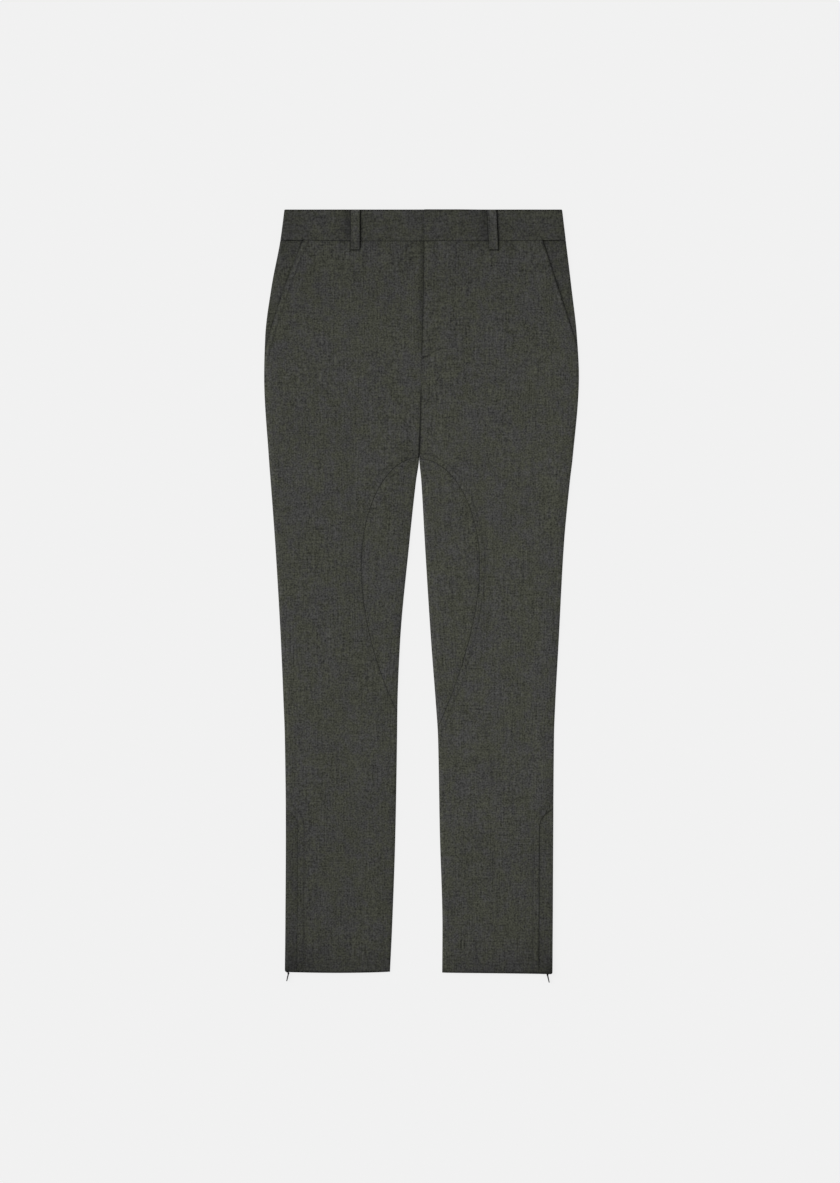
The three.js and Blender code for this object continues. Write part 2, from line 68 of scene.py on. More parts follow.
class Body(Enum):
    """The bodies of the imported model."""

    TROUSERS = "trousers"
    PULL_RIGHT = "pull_right"
    PULL_LEFT = "pull_left"


class Slot(Enum):
    """The record's material slots."""

    SUITING = "suiting"
    ZIP_TAPE = "zip_tape"
    GUNMETAL = "gunmetal"


# ---- Small mathematics ------------------------------------------------------------------------------------


def fade(value: Array, start: float, end: float) -> Array:
    """0 before start and 1 after end, smooth between them; the two may also be given high to low."""
    t = np.clip((np.asarray(value, float) - start) / (end - start), 0, 1)
    return t * t * (3 - 2 * t)


def rolled(distance: Array, width: float) -> Array:
    """Rise of a rolled edge: 0 on the edge and 1 past width, like a quarter of an ellipse."""
    return np.sqrt(1 - (1 - np.clip(np.asarray(distance, float) / width, 0, 1)) ** 2)


def bell(distance: Array, width: float) -> Array:
    """A soft hump, 1 at no distance and nearly 0 at twice the width."""
    return np.exp(-((np.asarray(distance, float) / width) ** 2))


def blend(a: Array, b: Array, share: Array) -> Array:
    """From a to b by share."""
    return a + (b - a) * share


class Run:
    """A smooth line through a table of places, which never overshoots them."""

    def __init__(self, drops: Sequence[float], values: Sequence[float]) -> None:
        """Keeps the table and works out the slope at each of its rows.

        Args:
            drops: where each row is, in rising order.
            values: the value at each row.
        """
        self.drops, self.values = np.asarray(drops, float), np.asarray(values, float)
        rise = np.diff(self.values) / np.diff(self.drops)
        before, after = rise[:-1], rise[1:]
        same_way = before * after > 0
        middle = np.where(same_way, 2 * before * after / np.where(same_way, before + after, 1), 0)
        self.slopes = np.concatenate([rise[:1], middle, rise[-1:]])

    def __call__(self, drop: Array) -> Array:
        """The line's value at each drop."""
        drop = np.asarray(drop, float)
        k = np.clip(np.searchsorted(self.drops, drop, side="right") - 1, 0, len(self.drops) - 2)
        span = self.drops[k + 1] - self.drops[k]
        t = (drop - self.drops[k]) / span
        bend = (t - 1) * t * span * ((t - 1) * self.slopes[k] + t * self.slopes[k + 1])
        return blend(self.values[k], self.values[k + 1], t * t * (3 - 2 * t)) + bend


class Path:
    """A line drawn on the cloth through places given as x and drop."""

    def __init__(self, places: Sequence[tuple[float, float]]) -> None:
        """Keeps the places, and how far along the line each is."""
        self.places = np.asarray(places, float)
        self.steps = np.maximum(np.linalg.norm(np.diff(self.places, axis=0), axis=1), 1e-6)
        self.along = np.concatenate([[0], np.cumsum(self.steps)])

    def nearest(self, x: Array, drop: Array, reach: float = 40) -> tuple[Array, Array]:
        """How near the line comes to each place.

        Args:
            x: x of the places.
            drop: drop of the places.
            reach: beyond this the distance isn't wanted, and is FAR.

        Returns:
            The distance of each place, and how far along the line it is nearest, from 0 to 1.
        """
        x, drop = np.broadcast_arrays(np.asarray(x, float), np.asarray(drop, float))
        every = np.stack([x.ravel(), drop.ravel()], axis=1)
        inside = ((every > self.places.min(0) - reach) & (every < self.places.max(0) + reach)).all(1)
        at = every[inside]
        best, share = np.full(len(at), FAR), np.zeros(len(at))
        for start, step, length, before in zip(
            self.places[:-1], np.diff(self.places, axis=0), self.steps, self.along[:-1], strict=True
        ):
            t = np.clip(((at - start) @ step) / length**2, 0, 1)
            gap = np.hypot(*(at - start - t[:, None] * step).T)
            closer = gap < best
            best = np.where(closer, gap, best)
            share = np.where(closer, (before + t * length) / self.along[-1], share)
        distances, shares = np.full(len(every), FAR), np.zeros(len(every))
        distances[inside], shares[inside] = best, share
        return distances.reshape(x.shape), shares.reshape(x.shape)

    def distance(self, x: Array, drop: Array, reach: float = 40) -> Array:
        """The distance of each place from the line, or FAR beyond reach."""
        return self.nearest(x, drop, reach)[0]

    def beside(self, offset: float) -> "Path":
        """The line beside this one, offset to the wearer's left of its way down (or right if negative)."""
        way = np.gradient(self.places, axis=0)
        way /= np.maximum(np.linalg.norm(way, axis=1), 1e-9)[:, None]
        return Path(self.places + offset * np.stack([way[:, 1], -way[:, 0]], axis=1))

    def part(self, keep: Array) -> "Path":
        """The line through only the places that are kept."""
        return Path(self.places[keep])


def smooth(places: Sequence[tuple[float, float]], count: int) -> Path:
    """A smooth line through places given as x and drop, drawn with that many points."""
    at, index = np.linspace(0, len(places) - 1, count), np.arange(len(places))
    return Path(np.stack([Run(index, values)(at) for values in zip(*places, strict=True)], axis=1))


@dataclass(frozen=True)
class Ripple:
    """Gentle unevenness of cloth that was handled and laid down: a few long waves, the same each time."""

    seed: int
    shortest: float
    longest: float
    count: int = 14

    def __call__(self, x: Array, drop: Array) -> Array:
        """The height of the waves at each place, about 1 at most places' highest."""
        draw = np.random.default_rng(self.seed)
        total = np.zeros(np.broadcast(x, drop).shape)
        for _ in range(self.count):
            angle, phase = draw.uniform(0, math.tau, 2)
            length = draw.uniform(self.shortest, self.longest)
            way = math.cos(angle) * x * 1.4 + math.sin(angle) * drop * 0.6
            total = total + np.sin(math.tau * way / length + phase)
        return total / math.sqrt(self.count)


# ---- The pattern ------------------------------------------------------------------------------------------

CLOTH = 1.0
BAND_WALL = 2.0
LOOP_WALL = 1.2
LAYER_GAP = 0.3
SEAM_GAP = 0.12

BAND_DEPTH = 41.5
CROTCH = 338
HEM = 1040
HEM_CORNER = 2.6
LEG_SPLIT = -7

LOFT = 2.6
WAIST_LOFT = 0.55
EDGE_ROLL = 25
BACK_LIFT = 1.5
LAP_BAND = 2.3
LAP_FLY = 0.8
LAP_ACROSS = (85, 45)
LAP_DOWN = (250, 180)
BAND_HOLD = 130
LIFT = (110, 60)
SEAM_DIP = 1.4

POCKET_UNDERLAP = 12
POCKET_CLEAR = 0.5
INSET_HEIGHT = 148
FLY_END = BAND_DEPTH + 160
SEAM_OPENS = 250
SEAM_TIGHT = 0.09
FLY_REACH = 34
FLY_BEHIND = 8
SHIELD_CLEAR = 0.4
BAND_UNDERLAP = 36
STRIP_TOP = 818
STRIP_CURVE = 28
ZIP_TOP = 826
ZIP_OPENS = (790, 840)
ZIP_OPEN_SHARE = 0.92
SLIDER_RISE = (1000, 1028)
ZIP_RECESS = 3.5
ZIP_TAPE = 12
SLIDER_LENGTH = 9
SLIDER_LIFT = 1.3
LOOP_WIDTH = 12.3
LOOP_TOP = 0.6
LOOP_BELOW = 13
LOOP_STAND = 1.4
LOOP_TACK = 3.4

POCKET_STITCH = 6.9
INSET_STITCH = 7.0
STRIP_STITCH = 8.6
HEM_STITCH = 11.5
STITCH_CLEAR = 1.5
HEM_TURN = 35


@dataclass(frozen=True)
class Section:
    """The outline at one drop: x of the outer edges and of the inner leg edges."""

    drop: float
    outer_right: float
    inner_right: float
    inner_left: float
    outer_left: float


SECTIONS = (
    Section(0, -187, 3.8, 3.8, 192),
    Section(41.5, -192.5, 3.8, 3.8, 197),
    Section(107, -205, 3, 3, 205),
    Section(173, -213.3, 1.7, 1.7, 212.4),
    Section(227, -214.8, -0.3, -0.3, 215.1),
    Section(338, -208.4, -2.9, -2.9, 206.6),
    Section(370, -206, -7.3, -0.2, 202.8),
    Section(457, -199.6, -16.7, 4.8, 194.6),
    Section(588, -192, -29, 13.1, 187.5),
    Section(676, -188.2, -32.7, 19.8, 182.7),
    Section(719, -186.6, -33.2, 22.6, 181.1),
    Section(850, -185.1, -35.5, 25.1, 180),
    Section(982, -185.8, -40.1, 28.7, 179.3),
    Section(1040, -186.4, -42.9, 28.3, 178.8),
)


def column(name: str) -> Run:
    """The smooth line through one column of SECTIONS."""
    return Run([s.drop for s in SECTIONS], [getattr(s, name) for s in SECTIONS])


INNER_RIGHT = column("inner_right")
INNER_LEFT = column("inner_left")


@dataclass(frozen=True)
class Side:
    """One side of the wearer: its outline, its seam lines and what differs from the other side."""

    name: str
    sign: int
    outer: Run
    leg: Run
    pocket_top: float
    pocket_end: float
    pocket_bow: float
    inset_peak: tuple[float, float]
    inset_end: float
    inset_fullness: float
    strip_width: float
    loop_centre: float
    loop_lean: float
    hem_dip: tuple[float, float, float]
    laps: bool

    @property
    def inset_top(self) -> float:
        """Drop at which the inset starts, on the inseam."""
        return self.inset_peak[1] - INSET_HEIGHT

    def inner(self, drop: Array) -> Array:
        """The centre seam above the crotch, and the inner leg edge below it."""
        return np.where(np.asarray(drop) < CROTCH, INNER_RIGHT(drop), self.leg(drop))

    def pocket_line(self, drop: Array) -> Array:
        """The slant pocket's mouth, from the waist seam to the side seam."""
        share = (np.asarray(drop, float) - BAND_DEPTH) / (self.pocket_end - BAND_DEPTH)
        bow = self.sign * self.pocket_bow * 4 * share * (1 - share)
        return blend(self.sign * self.pocket_top, float(self.outer(self.pocket_end)), share) + bow

    def inset_line(self, drop: Array) -> Array:
        """The inset's outer seam: a quarter of an ellipse to its peak, then a long curve to the inseam."""
        peak_x, peak_drop = self.inset_peak
        start, end = float(self.inner(self.inset_top)), float(self.inner(self.inset_end))
        up = np.clip((peak_drop - np.asarray(drop, float)) / INSET_HEIGHT, 0, 1)
        down = np.clip((np.asarray(drop, float) - peak_drop) / (self.inset_end - peak_drop), 0, 1)
        above = blend(start, peak_x, np.sqrt(1 - up * up))
        return np.where(np.asarray(drop) < peak_drop, above, blend(peak_x, end, down**self.inset_fullness))

    def strip_line(self, drop: Array) -> Array:
        """The ankle strip's inner seam, curving out into the side seam at its top."""
        share = np.clip((np.asarray(drop, float) - STRIP_TOP) / STRIP_CURVE, 0, 1)
        return self.outer(drop) - self.sign * self.strip_width * (1 - (1 - share) ** 3)

    def front_outer(self, drop: Array) -> Array:
        """The front panel's outer edge: pocket mouth, side seam, then ankle strip."""
        below = np.where(np.asarray(drop) < STRIP_TOP, self.outer(drop), self.strip_line(drop))
        return np.where(np.asarray(drop) < self.pocket_end, self.pocket_line(drop), below)

    def front_inner(self, drop: Array) -> Array:
        """The front's inner edge: centre seam, tight below the fly, then inset seam and inner leg."""
        on_inset = (np.asarray(drop) > self.inset_top) & (np.asarray(drop) < self.inset_end)
        closed = fade(drop, FLY_END, FLY_END + 6) * fade(drop, SEAM_OPENS + 6, SEAM_OPENS - 4)
        tight = SEAM_TIGHT * closed if self.laps else 0
        return np.where(on_inset, self.inset_line(drop), self.inner(drop) - tight)

    def hip_inner(self, drop: Array) -> Array:
        """The hidden edge of the pocket facing, under the front."""
        return self.pocket_line(drop) - self.sign * POCKET_UNDERLAP * fade(drop, 180, 145)

    def drawn(self, line: Line, start: float, end: float, step: float = 2.5) -> Path:
        """A seam line as a path whose places are evenly spaced along it.

        Args:
            line: the line, as x over drop.
            start: its first drop.
            end: its last drop.
            step: the distance between places.

        Returns:
            The path.
        """
        drops = stations(start, end, [line], step)
        return Path(np.stack([line(drops), drops], axis=1))


def stations(
    start: float, end: float, lines: Sequence[Line], step: float, marks: Sequence[float] = ()
) -> Array:
    """Drops close enough together that no line moves further than a step between them.

    Args:
        start: the first drop.
        end: the last drop.
        lines: lines as x over drop.
        step: the furthest that a line may run from one drop to the next.
        marks: drops that have to be among them.

    Returns:
        The drops in rising order.
    """
    near_start = start + np.geomspace(1e-3, 8, 300)
    near_marks = [m + np.geomspace(1e-3, 8, 300) for m in marks]
    fine = np.unique(np.concatenate([np.linspace(start, end, 6000), near_start, *near_marks]))
    fine = fine[(fine >= start) & (fine <= end)]
    run = np.max([np.hypot(np.diff(line(fine)), np.diff(fine)) for line in lines], axis=0)
    along = np.concatenate([[0], np.cumsum(run)])
    even = np.interp(np.linspace(0, along[-1], math.ceil(along[-1] / step) + 1), along, fine)
    kept = [m for m in sorted({*marks, start, end}) if start <= m <= end]
    apart = even[np.min(np.abs(even[:, None] - np.array(kept)), axis=1) > 0.04]
    return np.unique(np.concatenate([apart, kept]))


RIGHT = Side(
    name="right",
    sign=-1,
    outer=column("outer_right"),
    leg=INNER_RIGHT,
    pocket_top=161.3,
    pocket_end=194.6,
    pocket_bow=3,
    inset_peak=(-82, 486),
    inset_end=686,
    inset_fullness=1.95,
    strip_width=16.4,
    loop_centre=-90.1,
    loop_lean=0,
    hem_dip=(0, 1.4, 0),
    laps=False,
)
LEFT = Side(
    name="left",
    sign=1,
    outer=column("outer_left"),
    leg=INNER_LEFT,
    pocket_top=165.5,
    pocket_end=188,
    pocket_bow=0,
    inset_peak=(79.7, 488),
    inset_end=708,
    inset_fullness=1.72,
    strip_width=18.8,
    loop_centre=96.0,
    loop_lean=2.6,
    hem_dip=(3.0, 2.0, 1.2),
    laps=True,
)
BACK_LOOPS = {"right": -118.0, "centre": 0.5, "left": 118.0}


@dataclass
class SeamLines:
    """The seams and lines of stitches of one side's front."""

    side: Side

    @cached_property
    def pocket(self) -> Path:
        """The pocket's mouth."""
        return self.side.drawn(self.side.pocket_line, BAND_DEPTH, self.side.pocket_end)

    @cached_property
    def inset(self) -> Path:
        """The inset's outer seam."""
        return self.side.drawn(self.side.inset_line, self.side.inset_top, self.side.inset_end)

    @cached_property
    def strip(self) -> Path:
        """The ankle strip's inner seam."""
        return self.side.drawn(self.side.strip_line, STRIP_TOP, HEM)

    @cached_property
    def hem(self) -> Path:
        """The line of the hem's stitches."""
        drop, clear = HEM - HEM_STITCH, self.side.sign * STITCH_CLEAR
        ends = (float(self.side.inner(drop)) + clear, float(self.side.outer(drop)) - clear)
        xs = np.linspace(min(ends), max(ends), 90)
        return Path(np.stack([xs, np.full(len(xs), drop)], axis=1))

    def beside_inside(self, path: Path, offset: float, clear: float = STITCH_CLEAR) -> Path:
        """The line of stitches beside a seam, kept within the front panel.

        Args:
            path: the seam.
            offset: distance towards the middle of the front panel; its sign follows the seam's way down.
            clear: how near it may come to the panel's edges.

        Returns:
            The stitches' line.
        """
        line = path.beside(offset)
        x, drop = line.places.T
        side = self.side
        inner, outer = side.front_inner(drop), side.front_outer(drop)
        inside = (side.sign * (x - inner) > clear) & (side.sign * (outer - x) > clear)
        return line.part(inside & (drop > BAND_DEPTH + 1) & (drop < HEM - 1))

    @cached_property
    def pocket_stitch(self) -> Path:
        """Stitches along the pocket's mouth."""
        return self.beside_inside(self.pocket, -self.side.sign * POCKET_STITCH)

    @cached_property
    def inset_stitch(self) -> Path:
        """Stitches outside the inset's seam."""
        return self.beside_inside(self.inset, self.side.sign * INSET_STITCH)

    @cached_property
    def strip_stitch(self) -> Path:
        """Stitches inside the ankle strip's seam."""
        return self.beside_inside(self.strip, -self.side.sign * STRIP_STITCH)

    @cached_property
    def fly_hook(self) -> Path:
        """The stitched curve at the foot of the fly, on the side that laps."""
        places = (
            (1.6, 200.8),
            (5.4, 200.7),
            (8.9, 199.9),
            (12, 198.0),
            (15.4, 194.9),
            (21, 192.3),
            (27, 189.8),
        )
        return smooth(places, 30)


@dataclass(frozen=True)
class Shadow:
    """A painted shadow along a line: a seam, an edge or a row of stitches; a negative depth makes it a
    painted highlight.
    """

    path: Path
    depth: float
    width: float
    end_depth: float | None = None

    def at(self, x: Array, drop: Array) -> Array:
        """What the painted shadow leaves of the cloth's colour at each place, more than all of it for a
        painted highlight.
        """
        distance, share = self.path.nearest(x, drop, 3 * self.width)
        end = self.depth if self.end_depth is None else self.end_depth
        return 1 - blend(self.depth, end, share) * bell(distance, self.width)


def straight(*places: tuple[float, float]) -> Path:
    """A line straight from place to place, each given as x and drop."""
    return Path(places)


def front_shadows() -> tuple[Shadow, ...]:
    """The painted shadows of the front, and its painted highlights where a depth is negative."""
    waist = np.linspace(float(RIGHT.outer(BAND_DEPTH)), float(LEFT.outer(BAND_DEPTH)), 90)
    found = [
        # Painted shadows along the waist seam, the waistband's top edge, the fly, the seam below it and the
        # crotch fold.
        Shadow(Path(np.stack([waist, np.full(90, BAND_DEPTH)], axis=1)), 0.10, 0.9),
        Shadow(straight((-190, 0), (195, 0)), 0.45, 1.5),
        Shadow(straight((2.9, 44), (2.3, 107), (0.9, 190)), 0.13, 1.6),
        Shadow(straight((0.4, 44), (-0.3, 107), (-1.8, 190)), 0.09, 3.6),
        Shadow(straight((1.6, 0), (1.6, 41)), 0.07, 2.4),
        Shadow(straight((-0.4, 203), (-0.6, 244)), 0.06, 1.2),
        Shadow(straight((-0.5, 244), (-1.0, 280), (-2.5, 315), (-3.4, 337)), 0.24, 1.3, 0.6),
        # Painted highlights on the flanks that face the light.
        Shadow(straight((7.6, 44), (6.6, 107), (4.4, 190)), -0.04, 1.8),
        Shadow(straight((3.0, 262), (2.2, 304)), -0.07, 1.8),
        Shadow(straight((-9.5, 290), (-11, 337)), -0.06, 3.0),
    ]
    for side in (RIGHT, LEFT):
        lines, deep = SeamLines(side), side.laps
        # Painted shadow at each pocket's mouth, a painted highlight on the ridge inside it, and painted
        # shadows along the seams, stitches and hem.
        mouth = lines.pocket.beside(-0.4 if deep else -0.5)
        found += [
            Shadow(mouth, 0.30 if deep else 0.28, 1.2 if deep else 1.0, 0.2),
            Shadow(lines.pocket.beside(-side.sign * 0.5 * POCKET_STITCH), -0.02 if deep else -0.04, 2.0),
            Shadow(lines.inset, 0.14, 0.8),
            Shadow(lines.strip, 0.20 if deep else 0.06, 1.1),
            Shadow(lines.pocket_stitch, 0.05 if deep else 0.12, 0.9),
            Shadow(lines.inset_stitch, 0.10, 0.8),
            Shadow(lines.strip_stitch, 0.16, 0.9),
            Shadow(lines.hem, 0.05, 0.9),
        ]
        # Painted cast shadows beside each belt loop: deep on its side away from the light, faint on the
        # other.
        for way, depth in ((1, 0.66), (-1, 0.26)):
            half, end = way * (LOOP_WIDTH / 2 + 0.4), BAND_DEPTH + LOOP_BELOW
            top, foot = side.loop_centre + half, side.loop_centre + side.loop_lean + half
            found.append(Shadow(straight((top, 1.0), (foot, end)), depth, 1.15, 0.7 * depth))
        # Painted shadow along the lower end of the belt loop.
        foot = side.loop_centre + side.loop_lean
        found.append(
            Shadow(straight((foot - 6, BAND_DEPTH + 13.4), (foot + 6.5, BAND_DEPTH + 13.4)), 0.30, 0.9)
        )
    # Painted shadow along the stitched curve at the foot of the fly.
    found.append(Shadow(SeamLines(LEFT).fly_hook, 0.50, 0.85, 0.20))
    return tuple(found)


def back_shadows() -> tuple[Shadow, ...]:
    """The painted shadows of the back: along the waist seam, the centre seam and the hem's stitches."""
    found = [Shadow(straight((-192, BAND_DEPTH), (197, BAND_DEPTH)), 0.12, 1.2)]
    centre = np.linspace(BAND_DEPTH, CROTCH, 40)
    found.append(Shadow(Path(np.stack([INNER_RIGHT(centre), centre], axis=1)), 0.16, 1.1))
    found += [Shadow(SeamLines(side).hem, 0.06, 0.9) for side in (RIGHT, LEFT)]
    return tuple(found)


# ---- How the garment lies ---------------------------------------------------------------------------------


@dataclass(frozen=True)
class Crease:
    """A soft trough in the cloth along a line, or a ridge where its depth is negative."""

    line: tuple[tuple[float, float], ...]
    depth: float
    width: float

    @cached_property
    def path(self) -> Path:
        """The crease's line, drawn smooth."""
        return smooth(self.line, 6 * len(self.line))

    def depth_at(self, x: Array, drop: Array) -> Array:
        """How deep the crease is at each place; it dies away towards its ends."""
        distance, share = self.path.nearest(x, drop, 3 * self.width)
        return self.depth * bell(distance, self.width) * np.sin(math.pi * (0.08 + 0.84 * share))


FRONT_CREASES = {
    "right": (
        Crease(((-106, 240), (-97, 342), (-92, 424), (-88, 500), (-89, 600)), 0.9, 13),
        Crease(((-46, 160), (-42, 260), (-38, 330), (-62, 400)), -0.5, 17),
        Crease(((-136, 60), (-132, 110), (-120, 165)), 0.5, 11),
        Crease(((-60, 80), (-66, 130), (-78, 190)), 0.35, 9),
        Crease(((-176, 730), (-171, 800), (-168, 880), (-172, 960)), 0.5, 9),
        Crease(((-120, 700), (-105, 780), (-112, 860)), 0.4, 16),
        Crease(((-70, 830), (-84, 900), (-78, 980)), 0.35, 13),
        Crease(((-150, 250), (-160, 330), (-150, 420)), 0.4, 14),
        Crease(((-150, 620), (-130, 660), (-96, 680)), 0.35, 10),
    ),
    "left": (
        Crease(((70, 240), (82, 360), (95, 470), (93, 580), (84, 650)), 0.8, 12),
        Crease(((30, 215), (38, 300), (52, 380)), -0.5, 16),
        Crease(((84, 60), (86, 110), (80, 170)), 0.5, 10),
        Crease(((54, 625), (49, 655), (40, 684)), 0.45, 6),
        Crease(((46, 352), (58, 362), (70, 378)), 0.3, 5),
        Crease(((14, 80), (16, 110), (12, 140)), 0.35, 8),
        Crease(((150, 230), (160, 320), (146, 420)), 0.4, 15),
        Crease(((92, 720), (110, 800), (104, 880)), 0.4, 15),
        Crease(((146, 760), (150, 850), (144, 940)), 0.35, 11),
        Crease(((60, 860), (74, 930), (70, 1000)), 0.35, 13),
        Crease(((160, 560), (140, 610), (108, 640)), 0.35, 11),
    ),
}
BACK_CREASES = {
    "right": (
        Crease(((-110, 200), (-120, 330), (-108, 470)), 0.45, 15),
        Crease(((-60, 300), (-84, 360), (-120, 400)), 0.4, 11),
        Crease(((-130, 560), (-104, 620), (-70, 640)), 0.4, 12),
        Crease(((-112, 700), (-120, 800), (-108, 920)), 0.35, 15),
    ),
    "left": (
        Crease(((112, 200), (120, 340), (104, 480)), 0.45, 15),
        Crease(((56, 310), (84, 372), (122, 410)), 0.4, 11),
        Crease(((128, 570), (100, 630), (62, 652)), 0.4, 12),
        Crease(((108, 720), (118, 820), (104, 930)), 0.35, 15),
    ),
}


@dataclass(frozen=True)
class Lay:
    """How the garment lies: where the pattern is in the row frame, how high each layer is, and the light and
    shade painted on its cloth.
    """

    top: float
    shift: float
    front_shadows: tuple[Shadow, ...] = ()
    back_shadows: tuple[Shadow, ...] = ()
    handled: Ripple = Ripple(seed=11, shortest=55, longest=170)
    puckered: Ripple = Ripple(seed=23, shortest=9, longest=22)

    def place(self, x: Array, drop: Array, z: Array) -> Array:
        """A point of the garment in the row frame, with the waist seam's dip and the hems' round corners.

        Args:
            x: x on the pattern.
            drop: drop on the pattern.
            z: height above the surface.

        Returns:
            The points, in metres, along a last axis of three.
        """
        x, drop, z = np.broadcast_arrays(*(np.asarray(v, float) for v in (x, drop, z)))
        held = np.minimum(np.clip(drop / BAND_DEPTH, 0, 1), fade(drop, BAND_HOLD, 60))
        waist = SEAM_DIP * (1 - (x / 200) ** 2) * held
        dips, turned = [], x
        for side in (RIGHT, LEFT):
            across = np.clip((x - side.inner(drop)) / (side.outer(drop) - side.inner(drop)), 0, 1)
            outer, middle, inner = side.hem_dip
            bow = (middle - (outer + inner) / 2) * (1 - (2 * across - 1) ** 2)
            dips.append((blend(inner, outer, across) + bow) * fade(drop, 960, HEM))
            corner = HEM_CORNER * (1 - rolled(HEM - drop, HEM_CORNER))
            turned = turned - side.sign * corner * fade(side.sign * (side.outer(drop) - x), 9, 0)
        hem = np.where(x < LEG_SPLIT, *dips)
        return np.stack([turned * MM + self.shift, self.top - (drop + waist + hem) * MM, z * MM], axis=-1)

    @staticmethod
    def back_under(drop: Array) -> Array:
        """Underside of the back, which is carried on its belt loops at the waist."""
        return BACK_LIFT * fade(drop, *LIFT)

    def back_top(self, drop: Array) -> Array:
        """Upper side of the back's cloth."""
        return self.back_under(drop) + CLOTH

    @staticmethod
    def lap(x: Array, drop: Array) -> Array:
        """Rise of the wearer's left side over the right, at the closure and down the fly."""
        height = blend(LAP_FLY, LAP_BAND, fade(drop, BAND_HOLD, BAND_DEPTH))
        return height * fade(x, *LAP_ACROSS) * fade(drop, *LAP_DOWN)

    @staticmethod
    def from_side(side: Side, x: Array, drop: Array) -> Array:
        """Distance in from the outer edge."""
        return np.maximum(side.sign * (side.outer(drop) - x), 0)

    @staticmethod
    def from_leg(x: Array, drop: Array) -> Array:
        """Distance from the gap between the legs."""
        crotch = float(INNER_RIGHT(CROTCH))
        below = np.maximum(np.maximum(INNER_RIGHT(drop) - x, x - INNER_LEFT(drop)), 0)
        above = np.hypot(x - crotch, np.maximum(CROTCH - np.asarray(drop, float), 0))
        return np.where(np.asarray(drop) < CROTCH, above, below)

    @staticmethod
    def zip_open(drop: Array) -> Array:
        """How far the ankle zip holds the side seam open: 0 above it and 1 along it."""
        return fade(drop, *ZIP_OPENS)

    def gap(self, side: Side, x: Array, drop: Array) -> Array:
        """Height of the front's cloth above the back's, without the lap and without creases."""
        inside = self.from_side(side, x, drop)
        share = blend(WAIST_LOFT, 1, fade(drop, BAND_DEPTH, BAND_HOLD))
        edge = np.maximum(rolled(inside, EDGE_ROLL), ZIP_OPEN_SHARE * self.zip_open(drop))
        slider = SLIDER_LIFT * fade(drop, *SLIDER_RISE) * fade(inside, 26, SLIDER_LENGTH)
        return LAYER_GAP + LOFT * share * edge * rolled(self.from_leg(x, drop), EDGE_ROLL) + slider

    def settled(self, side: Side, x: Array, drop: Array) -> Array:
        """Where creases have room: 0 at the edges, the fly and the ends, and 1 in the open cloth."""
        edges = fade(self.from_side(side, x, drop), 3, 22) * fade(self.from_leg(x, drop), 3, 20)
        ends = fade(drop, 46, 80) * fade(drop, HEM - 6, HEM - 40)
        fly = np.where(np.abs(np.asarray(x, float)) < 90, fade(drop, 150, 230), 1)
        return edges * ends * np.maximum(fly, fade(np.abs(x - 10), 22, 60))

    def front_under(self, side: Side, x: Array, drop: Array) -> Array:
        """Underside of the front's cloth, with its creases."""
        creases = sum(crease.depth_at(x, drop) for crease in FRONT_CREASES[side.name])
        soft = 0.22 * self.handled(x, drop) - creases
        lap = self.lap(x, drop) if side.laps else 0
        return self.back_top(drop) + self.gap(side, x, drop) + lap + soft * self.settled(side, x, drop)

    def facing_under(self, side: Side, x: Array, drop: Array, clear: float) -> Array:
        """Underside of a layer that lies beneath the front, on the back or close against the front."""
        front = self.back_top(drop) + self.gap(side, x, drop)
        return np.maximum(self.back_top(drop) + LAYER_GAP, front - CLOTH - clear)

    def back_soft(self, side: Side, x: Array, drop: Array) -> Array:
        """How far the back is lifted off the surface by its own creases."""
        creases = sum(crease.depth_at(x, drop) for crease in BACK_CREASES[side.name])
        uneven = 0.12 * np.maximum(self.handled(-x, drop), 0)
        return (creases + uneven) * self.settled(side, x, drop)

    def front_tone(self, x: Array, drop: Array) -> Array:
        """Painted shading of the front against its own colour: painted shade at the hems, waist, edges,
        loops, fly and seams, and painted highlights on the edges that face the light.
        """
        x, drop = np.broadcast_arrays(np.asarray(x, float), np.asarray(drop, float))
        # Painted shade towards the hems, along the hem's edge, towards the waist, and on the right leg's
        # lower part.
        dark = 0.035 * fade(drop, 760, HEM) + 0.07 * fade(drop, HEM - 45, HEM - 4)
        dark = dark + 0.36 * bell(HEM - drop, 1.9)
        dark = dark + 0.04 * fade(drop, 60, 30) + 0.045 * fade(drop, 230, 60)
        dark = dark + 0.025 * fade(drop, 700, 880) * (x < 0)
        # A faint painted highlight on the left leg's front.
        light = 0.02 * fade(x, 0, 30) * fade(drop, 240, 320) * fade(drop, 900, 800)
        for side in (RIGHT, LEFT):
            # Painted shade at the hem's outer corners, and along the outer edges near the waist and near the
            # hem.
            corner = np.hypot(x - float(side.outer(HEM)), drop - HEM)
            dark = dark + 0.09 * bell(corner, 45)
            outer, inner = np.abs(x - side.outer(drop)), np.abs(x - side.inner(drop))
            dark = dark + 0.05 * bell(outer, 24) * fade(drop, 120, 20)
            dark = dark + 0.035 * bell(outer, 22) * fade(drop, 780, 860)
            # Painted highlights on the edges that face the light, with painted shade right on their rim, and
            # painted shade on the edges that face away.
            below = fade(drop, CROTCH, CROTCH + 30)
            lit, turned = (outer, inner * below + FAR * (1 - below)) if side.sign < 0 else (inner, outer)
            light = light + 0.05 * bell(lit - 2.6, 2.2) * (below if side.sign > 0 else 1)
            dark = dark + 0.05 * bell(turned, 2.6) + 0.10 * bell(lit, 0.7) * (below if side.sign > 0 else 1)
            # Painted shade beside and around the belt loops, and close to the hem's outer corners.
            loop = x - side.loop_centre - side.loop_lean * drop / (BAND_DEPTH + LOOP_BELOW)
            dark = dark + 0.12 * bell(loop + 11, 5.5) * fade(drop, 46, 36)
            dark = dark + 0.10 * bell(corner, 9)
            dark = dark + 0.04 * bell(loop, 22) * fade(drop, 60, 44)
        tone = (1 - dark) * (1 + light)
